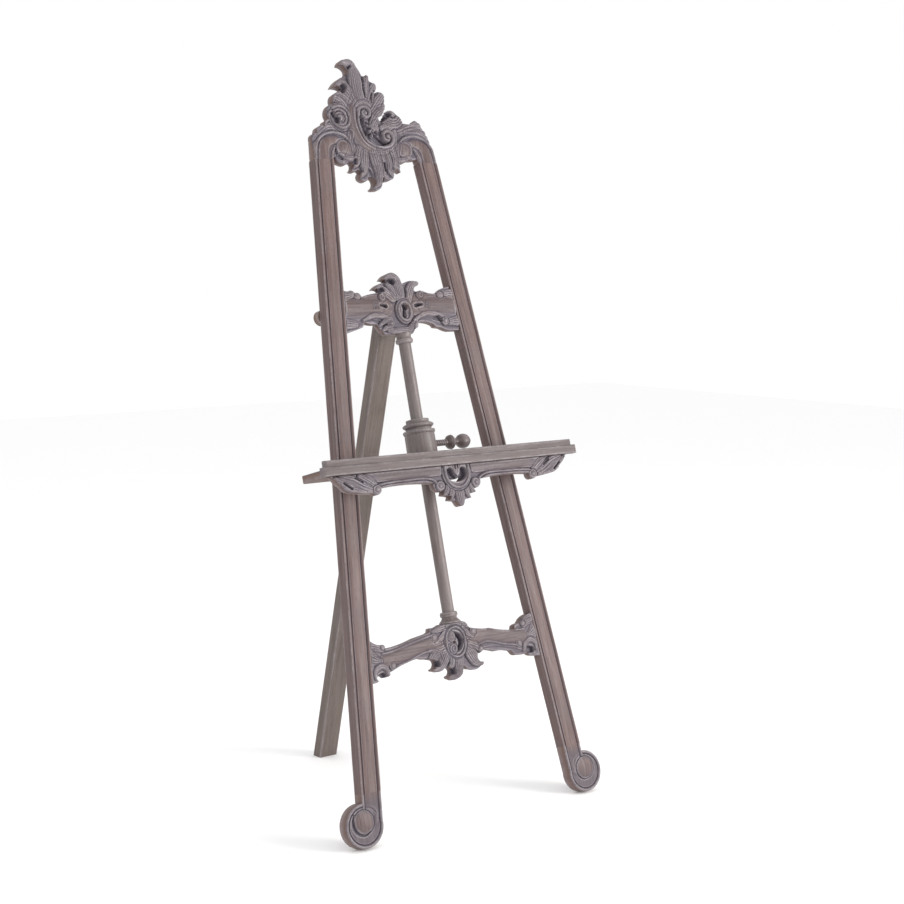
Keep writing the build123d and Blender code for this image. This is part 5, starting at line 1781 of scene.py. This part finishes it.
# ---- rear leg and its rail ----
@dataclass
class RearStand:
    """Back rail and folding rear leg.

    Args:
        rail_height: Height of the rail's section.
        rail_thick: Its thickness.
        rail_middle: Its middle along the frame.
        overhang: How far its round ends pass the legs' outer edges.
        hinge_at: Pin's height along the frame.
        hinge_offset: Pin behind the rail's back face.
        hinge_half: Half length of the hinge.
        leaf_thick: Thickness of its leaves.
        leaf_long: Height of the moving leaf.
        leaf_short: Height of the fixed leaf.
        knuckle_way: Radius kept clear round the knuckles in the rail.
        channel: Radius of the channel round them in the leg.
        width: Rear leg's width.
        thick: Its thickness.
        front: Its front face in front of the pin.
        top: Its top above the pin.
    """

    rail_height: float = 34.0
    rail_thick: float = 20.0
    rail_middle: float = 1146.0
    overhang: float = 5.0
    hinge_at: float = 1147.0
    hinge_offset: float = 2.6
    hinge_half: float = 22.5
    leaf_thick: float = 1.6
    leaf_long: float = 26.0
    leaf_short: float = 15.0
    knuckle_way: float = 3.7
    channel: float = 4.1
    width: float = 50.0
    thick: float = 30.0
    front: float = LEAF_REACH
    top: float = 14.0

    def rail(self, finishes: Finishes) -> None:
        """Round-ended rail, drawn from behind, with the hinge's recess and the screws' countersinks."""
        half = outer_x(self.rail_middle) + self.overhang
        bend = self.rail_height / 2
        angle = np.linspace(-math.pi / 2, math.pi / 2, 31)
        end = np.stack([half - bend + bend * np.cos(angle), bend * np.sin(angle)], 1)
        straight = np.stack([np.linspace(half - bend - 4, bend + 4 - half, 120), np.full(120, bend)], 1)
        r = Relief(np.vstack([end, straight, -end, -straight]), self.rail_thick, ground=0.0, pitch=1.4,
                   round_over=2.6)
        pin = self.hinge_at - self.rail_middle
        leaf = (np.abs(r.x) < self.hinge_half + 0.4) & (r.z < pin) & (r.z > pin - self.leaf_short - 0.4)
        r.height = np.where(leaf, -self.leaf_thick, r.height)
        reach = self.knuckle_way**2 - (r.z - pin) ** 2
        cut = np.minimum(0.0, self.hinge_offset - np.sqrt(np.maximum(reach, 0)))
        r.height = np.where(np.abs(r.x) < self.hinge_half + 1.6, np.minimum(r.height, cut), r.height)
        for side in (-1, 1):
            for rise in (-9.0, 9.0):
                x = side * (outer_x(self.rail_middle) - 12.0)
                q = np.hypot(r.x - x, r.z - rise)
                r.height = np.minimum(r.height, -2.2 + 1.6 * np.maximum(q - 4.2, 0))
        back = LEG_THICK + self.rail_thick
        obj = r.mesh("back_rail_eased", lambda x, depth,
                     z: STANCE.place(-x, back - depth, z + self.rail_middle))
        adopt(obj, "frame", "back_rail", finishes, "plain_wood_rail")

    def leg(self, finishes: Finishes) -> None:
        """Rear leg: an eased section carried from the floor to the top, cut back for the hinge.

        In the leg's own frame, with its pin at the origin, the front is held behind the greatest of
        its flat face, the leaf's recess, the knuckles' channel and the bevel that stops on the rail.
        """
        pin = np.array(joint("rear_leg_fold")["pos_m"], float)
        lean, tilt = lean_angle(), rear_angle()
        own = Stance(pin, np.array([0.0, math.cos(tilt), math.sin(tilt)]),
                     np.array([0.0, -math.sin(tilt), math.cos(tilt)]))
        half, back = self.width / 2, self.thick - self.front
        section = divided(rounded([
            (-half, -self.front, 2.2), (half, -self.front, 2.2), (half, back, 2.2), (-half, back, 2.2),
        ], 6), 2.0)
        u, depth = section[None, :, 0], section[None, :, 1]
        foot = -(pin[2] / MM + depth * math.sin(tilt)) / math.cos(tilt)
        low = np.linspace(-1120.0, -self.leaf_long - 6.0, 90)
        fine = np.linspace(-self.leaf_long - 4.0, self.top, 70)
        height = np.concatenate([low, fine])[:, None]
        opening = lean + tilt
        bevel = (-self.hinge_offset + 0.15 + height * math.sin(opening)) / math.cos(opening)
        reach = self.channel**2 - height**2
        channel = np.where(reach > 0, np.sqrt(np.maximum(reach, 0)), -self.front)
        seat = (np.abs(u) < self.hinge_half + 0.3) & (height > -self.leaf_long - 0.3) & (height < 0)
        leaf = np.where(seat, self.leaf_thick - self.front, -self.front)
        face = np.maximum(np.maximum(channel, leaf), np.where(height > 0, bevel, -self.front))
        marks = 0.15 * np.sin(height / 23.0) * np.sin(u / 11.0 + height / 90.0) * (height < -40)
        grid = own.place(u + 0 * height, np.maximum(depth + marks, face), height + 0 * u)
        ground = own.place(u, depth, foot)
        grid = np.concatenate([ground, grid[height[:, 0] > foot.max() + 4.0]])
        wear = bend_wear(section, True, 1.6)[None] * (0.7 + 0.3 * np.sin(np.arange(len(grid)) / 3.0))[:,
                                                                                                      None]
        obj = surface("rear_leg_eased", [grid], marks={"wear": [wear]})
        adopt(obj, "rear_leg", "rear_leg", finishes, "plain_wood_leg")

    def build(self, finishes: Finishes) -> None:
        """Makes the rail and the leg."""
        self.rail(finishes)
        self.leg(finishes)


# ---- sliding shelf ----
@dataclass
class Shelf:
    """Shelf board, its fascia and strip, and the collar that slides on the post.

    Args:
        top: Height of the board's upper face.
        thick: Thickness of the board.
        length: Its length.
        gap: Between the board and the legs.
        lip_front: Fascia's face in front of the frame.
        fascia_length: Length of the fascia.
        fascia_height: Its height.
        fascia_thick: Its thickness.
        strip_length: Length of the strip on it.
        strip_height: Its height.
        strip_thick: Its thickness.
        collar_radius: Radius of the collar's barrel.
        bore: Radius of the collar's bore.
        barrel_top: Height where the barrel meets its cap.
        cap_top: Height of the cap's top.
    """

    top: float = 795.0
    thick: float = 18.0
    length: float = 673.0
    gap: float = 2.0
    lip_front: float = 112.0
    fascia_length: float = 700.0
    fascia_height: float = 20.0
    fascia_thick: float = 18.0
    strip_length: float = 685.0
    strip_height: float = 14.0
    strip_thick: float = 12.0
    collar_radius: float = 35.0
    bore: float = 14.4
    barrel_top: float = 875.0
    cap_top: float = 899.0

    def board(self, finishes: Finishes) -> None:
        """Board drawn from above, notched round the barrel, with a worn and slightly hollowed top."""
        half, front, back = self.length / 2, self.fascia_thick - self.lip_front, -self.gap
        radius = self.collar_radius + 0.2
        mouth = math.sqrt(radius**2 - (POST_DEPTH - back) ** 2)
        lowest = math.atan2(back - POST_DEPTH, mouth)
        angle = np.linspace(lowest, -math.pi - lowest, 40)
        notch = np.stack([radius * np.cos(angle), POST_DEPTH + radius * np.sin(angle)], 1)
        edge = np.array([(-half, front), (half, front), (half, back)])
        outline = divided(np.vstack([edge, notch, [(-half, back)]]), 6.0)
        r = Relief(outline, self.thick, ground=0.0, pitch=1.9, round_over=1.7)
        hollow = 0.35 * (1 - ((r.z - front) / (back - front) * 2 - 1) ** 2)
        r.height = -hollow - 0.12 * np.sin(r.x / 37.0) * np.sin(r.z / 9.0)
        obj = r.mesh("shelf_board", lambda x, depth, z: STANCE.place(x, z, self.top - depth))
        adopt(obj, "tray", "tray_board", finishes, "shelf_wood")

    def lip(self, finishes: Finishes) -> None:
        """Fascia and strip: two moulded sections carried along x, rounded at their ends."""
        low = self.top - self.thick
        back = self.fascia_thick - self.lip_front
        parts = [(self.fascia_length / 2, -self.lip_front, 4.0,
                  [(-self.lip_front, low, 2.5), (-self.lip_front, low + self.fascia_height - 2.5, 2.0),
                   (-self.lip_front + 3.0, low + self.fascia_height, 1.8),
                   (back, low + self.fascia_height, 0.4), (back, low, 1.0)]),
                 (self.strip_length / 2, back - self.strip_thick, 5.0,
                  [(back - self.strip_thick, low + self.fascia_height - 1, 0.4),
                   (back - self.strip_thick, low + self.fascia_height + self.strip_height, 3.6),
                   (back, low + self.fascia_height + self.strip_height, 3.0),
                   (back, low + self.fascia_height - 1, 0.4)])]
        grids, wear = [], []
        for half, face, radius, corners in parts:
            section = divided(rounded(corners, 7), 2.0)
            near = radius * (1 - np.cos(np.linspace(0, math.pi / 2, 9)))
            x = np.concatenate([-half + near, np.linspace(-half + radius + 4, half - radius - 4, 150),
                                half - near[::-1]])[:, None]
            left = np.maximum(radius - (half - np.abs(x)), 0)
            pulled = radius - np.sqrt(np.maximum(radius**2 - left**2, 0))
            marks = 0.15 * np.sin(x / 31.0) * np.sin(x / 13.0 + section[None, :, 1])
            depth = np.maximum(section[None, :, 0],
                               face + pulled) + marks * (section[None, :, 0] < face + 4)
            grids.append(STANCE.place(x + 0 * depth, depth, section[None, :, 1] + 0 * x))
            patch = 0.75 + 0.25 * np.sin(x / 43.0) * np.sin(x / 11.0)
            wear.append(np.maximum(bend_wear(section, True, 1.5)[None], left / radius) * patch)
        obj = surface("shelf_lip", grids, marks={"wear": wear})
        adopt(obj, "tray", "tray_lip", finishes, "shelf_wood")

    def collar(self, finishes: Finishes) -> None:
        """Collar's barrel and cap, both turned and bored for the post."""
        low, r, bore, z = self.top - self.thick, self.collar_radius, self.bore, self.barrel_top
        barrel = rounded([(bore, low, 0.5), (bore, z, 0.5), (r - 4, z, 0.6), (r + 1.2, z - 1.2, 1.6),
                          (r + 2.1, z - 4.5, 1.8), (r + 1.0, z - 8.0, 1.8), (r - 1.2, z - 10.5, 1.5),
                          (r - 0.7, z - 14, 2.0), (r - 0.2, (low + z) / 2, 5), (r, low, 0.8)], 7)
        obj = turned("collar_barrel", [divided(barrel, 3.0)], Axis(), True, 128)
        adopt(obj, "tray", "collar", finishes, "turned_wood")
        t = self.cap_top
        cap = rounded([(bore, z, 0.4), (bore, t, 0.6), (r - 9, t, 1.2), (r - 8.4, t - 3, 0.8),
                       (r - 9.2, t - 7.5, 2.4), (r - 2.6, t - 10, 1.6), (r + 0.6, t - 12.5, 1.8),
                       (r + 0.4, t - 16, 1.8), (r - 2.4, t - 18.6, 1.4), (r - 5.6, t - 20.6, 1.0),
                       (r - 5.2, z, 0.4)], 7)
        obj = turned("collar_cap_turned", [divided(cap, 2.0)], Axis(), True, 128)
        adopt(obj, "tray", "collar_cap", finishes, "turned_wood")

    def build(self, finishes: Finishes) -> None:
        """Makes every piece of the shelf but its apron."""
        self.board(finishes)
        self.lip(finishes)
        self.collar(finishes)


@dataclass
class Clamp:
    """Wooden clamp screw with a double-ball knob.

    Args:
        start: Where the screw starts along x.
        shank: Where its thread ends.
        radius: Radius of the shank.
        pitch: Rise of the thread in one turn.
        thread: Depth of the thread.
    """

    start: float = 18.45
    shank: float = 72.0
    radius: float = 7.5
    pitch: float = 6.0
    thread: float = 1.1
    knob: tuple[tuple[float, float], ...] = ((72.0, 7.6), (74.0, 10.5), (78.5, 15.2), (80.6, 15.6),
                                             (81.2, 14.9), (81.9, 16.0), (85.0, 16.8), (89.0, 14.0),
                                             (91.8, 9.6), (94.5, 8.2), (98.5, 7.7), (102.5, 8.4),
                                             (105.5, 11.2), (111.0, 15.2), (119.0, 17.0), (127.0, 15.8),
                                             (133.0, 11.6), (136.6, 7.6), (139.4, 4.6), (141.6, 1.8),
                                             (142.0, 0.6))

    def build(self, finishes: Finishes) -> None:
        """Screw as radius(x, angle): the knob's spline, less thread (1 - |cos(pi x / pitch - angle / 2)|)."""
        shaft = np.linspace(self.start, self.shank - 0.5, 260)
        outline = np.vstack([np.stack([shaft, np.full(len(shaft), self.radius)], 1),
                             flowing(self.knob, 0.5)])
        x, radius = outline[:, :1], outline[:, 1:]
        angle = np.linspace(0, 2 * math.pi, 72, endpoint=False)[None]
        ridge = np.abs(np.cos(math.pi * x / self.pitch - angle / 2))
        fade = ease((self.shank - 3.0 - x) / 4.0) * ease((x - self.start) / 3.0)
        depth = self.thread * (1 - ridge) * fade
        axis = Axis(height=CLAMP_HEIGHT, across=True)
        grid = axis.place(radius - depth, x + 0 * angle, angle + 0 * x)
        ball = ease((x - self.shank) / 4.0) * np.clip((radius - 13.5) / 3.4, 0, 1)
        # Knob balls and thread crests get pale edges, partly real wear and partly painted highlight; the thread
        # troughs get lime and painted shade.
        wear = np.maximum(ball * 0.4, 0.8 * fade * (ridge > 0.93)) + 0 * angle
        recess = 0.7 * fade * ease((0.5 - ridge) / 0.4) + 0 * angle
        obj = surface("clamp_screw_threaded", [grid], marks={"wear": [wear], "recess": [recess]})
        adopt(obj, "clamp_screw", "clamp_screw", finishes, "turned_wood_across")


@dataclass
class Hardware:
    """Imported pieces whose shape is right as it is, and that only need their finish."""

    finish_of: dict[str, str] = field(default_factory=lambda: {
        "steel_screws": "steel_screws", "hinge_brass": "hinge_brass", "raw_wood": "raw_wood",
        "turned_wood": "turned_wood", "carved_wood": "carved_wood", "moulded_wood": "moulded_wood_left",
        "plain_wood": "plain_wood_leg", "shelf_wood": "shelf_wood",
    })

    def build(self, finishes: Finishes) -> None:
        """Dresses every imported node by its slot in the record."""
        slots = {part["node"]: part["material_slot"] for part in frame["record"]["subparts"]}
        for name, obj in frame["nodes"].items():
            finishes.dress(obj, self.finish_of[slots[name]])
            log.info("%s: dressed as %s", name, slots[name])


# ---- studio ----
@dataclass
class Studio:
    """Plain pale floor, soft lights and the camera.

    Args:
        camera_at: Place of the camera, in metres.
        yaw: Its direction from +Y towards +X, in degrees.
        pitch: How far it looks down, in degrees.
        lens: Focal length in mm.
        sensor: Width of the sensor in mm.
        shift: Shift of the picture, in widths.
        reach: Half the side of the square floor, in metres.
    """

    camera_at: tuple[float, float, float] = (-2.2777, -3.128, 1.2415)
    yaw: float = 38.086
    pitch: float = 6.904
    lens: float = 67.345
    sensor: float = 36.0
    shift: tuple[float, float] = (-0.0045, 0.0082)
    reach: float = 9.0

    def camera(self) -> None:
        """Camera at three-quarter view, a little above the shelf."""
        data = bpy.data.cameras.new("camera")
        data.lens, data.sensor_width = self.lens, self.sensor
        data.shift_x, data.shift_y = self.shift
        data.clip_start, data.clip_end = 0.05, 60.0
        obj = bpy.data.objects.new("camera", data)
        obj.location = self.camera_at
        obj.rotation_euler = (math.radians(90 - self.pitch), 0.0, math.radians(-self.yaw))
        bpy.context.scene.collection.objects.link(obj)
        bpy.context.scene.camera = obj

    def light(self, name: str, at: tuple, target: tuple, size: float, power: float, colour: tuple) -> None:
        """Adds a square area light aimed at a point."""
        data = bpy.data.lights.new(name, "AREA")
        data.size, data.energy, data.color = size, power, colour
        obj = bpy.data.objects.new(name, data)
        aim = np.array(target) - np.array(at)
        obj.location = at
        obj.rotation_euler = (math.acos(-aim[2] / np.linalg.norm(aim)), 0.0,
                              math.atan2(aim[1], aim[0]) - math.pi / 2)
        bpy.context.scene.collection.objects.link(obj)

    def build(self) -> None:
        """Makes the floor, the world, the lights and the camera."""
        world = bpy.data.worlds.new("studio")
        world.use_nodes = True
        world.node_tree.nodes["Background"].inputs["Color"].default_value = (1.0, 1.0, 1.0, 1.0)
        world.node_tree.nodes["Background"].inputs["Strength"].default_value = 1.0
        bpy.context.scene.world = world
        bpy.context.scene.view_settings.view_transform = "Standard"
        corners = [(-self.reach, -self.reach, 0.0), (self.reach, -self.reach, 0.0),
                   (self.reach, self.reach, 0.0), (-self.reach, self.reach, 0.0)]
        floor = mesh_object("floor", np.array(corners), [np.array([[0, 1, 2, 3]])])
        material = bpy.data.materials.new("pale_floor")
        material.use_nodes = True
        g = Graph(material.node_tree)
        shader = material.node_tree.nodes["Principled BSDF"]
        cloth = g.noise(g.node("ShaderNodeTexCoord").outputs["Object"], 3.0, 3.0)
        g.put(g.mix(g.between(cloth, 0.3, 0.7, 0.0, 0.15), (0.97, 0.97, 0.97), (0.95, 0.95, 0.95)),
              shader.inputs["Base Color"])
        shader.inputs["Roughness"].default_value = 0.9
        shader.inputs["Specular IOR Level"].default_value = 0.1
        floor.data.materials.append(material)
        self.light("key", (2.3, -3.4, 1.5), (0.0, 0.0, 0.5), 1.7, 150.0, (1.0, 0.99, 0.97))
        self.light("fill", (-3.6, -1.6, 2.2), (0.0, 0.0, 0.9), 2.4, 20.0, (0.97, 0.98, 1.0))
        self.camera()


def main() -> None:
    """Builds the finishes, then every sub-assembly in order, then the studio."""
    logging.basicConfig(level=logging.INFO, format="%(name)s %(message)s")
    finishes = Finishes()
    Hardware().build(finishes)
    for part in (Leg(-1), Leg(1), Crest(), UpperStretcher(), LowerStretcher(), Post(), RearStand(), Shelf(),
                 Apron(), Clamp()):
        part.build(finishes)
        log.info("%s built", type(part).__name__)
    Studio().build()


if __name__ == "__main__":
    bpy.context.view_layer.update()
    main()
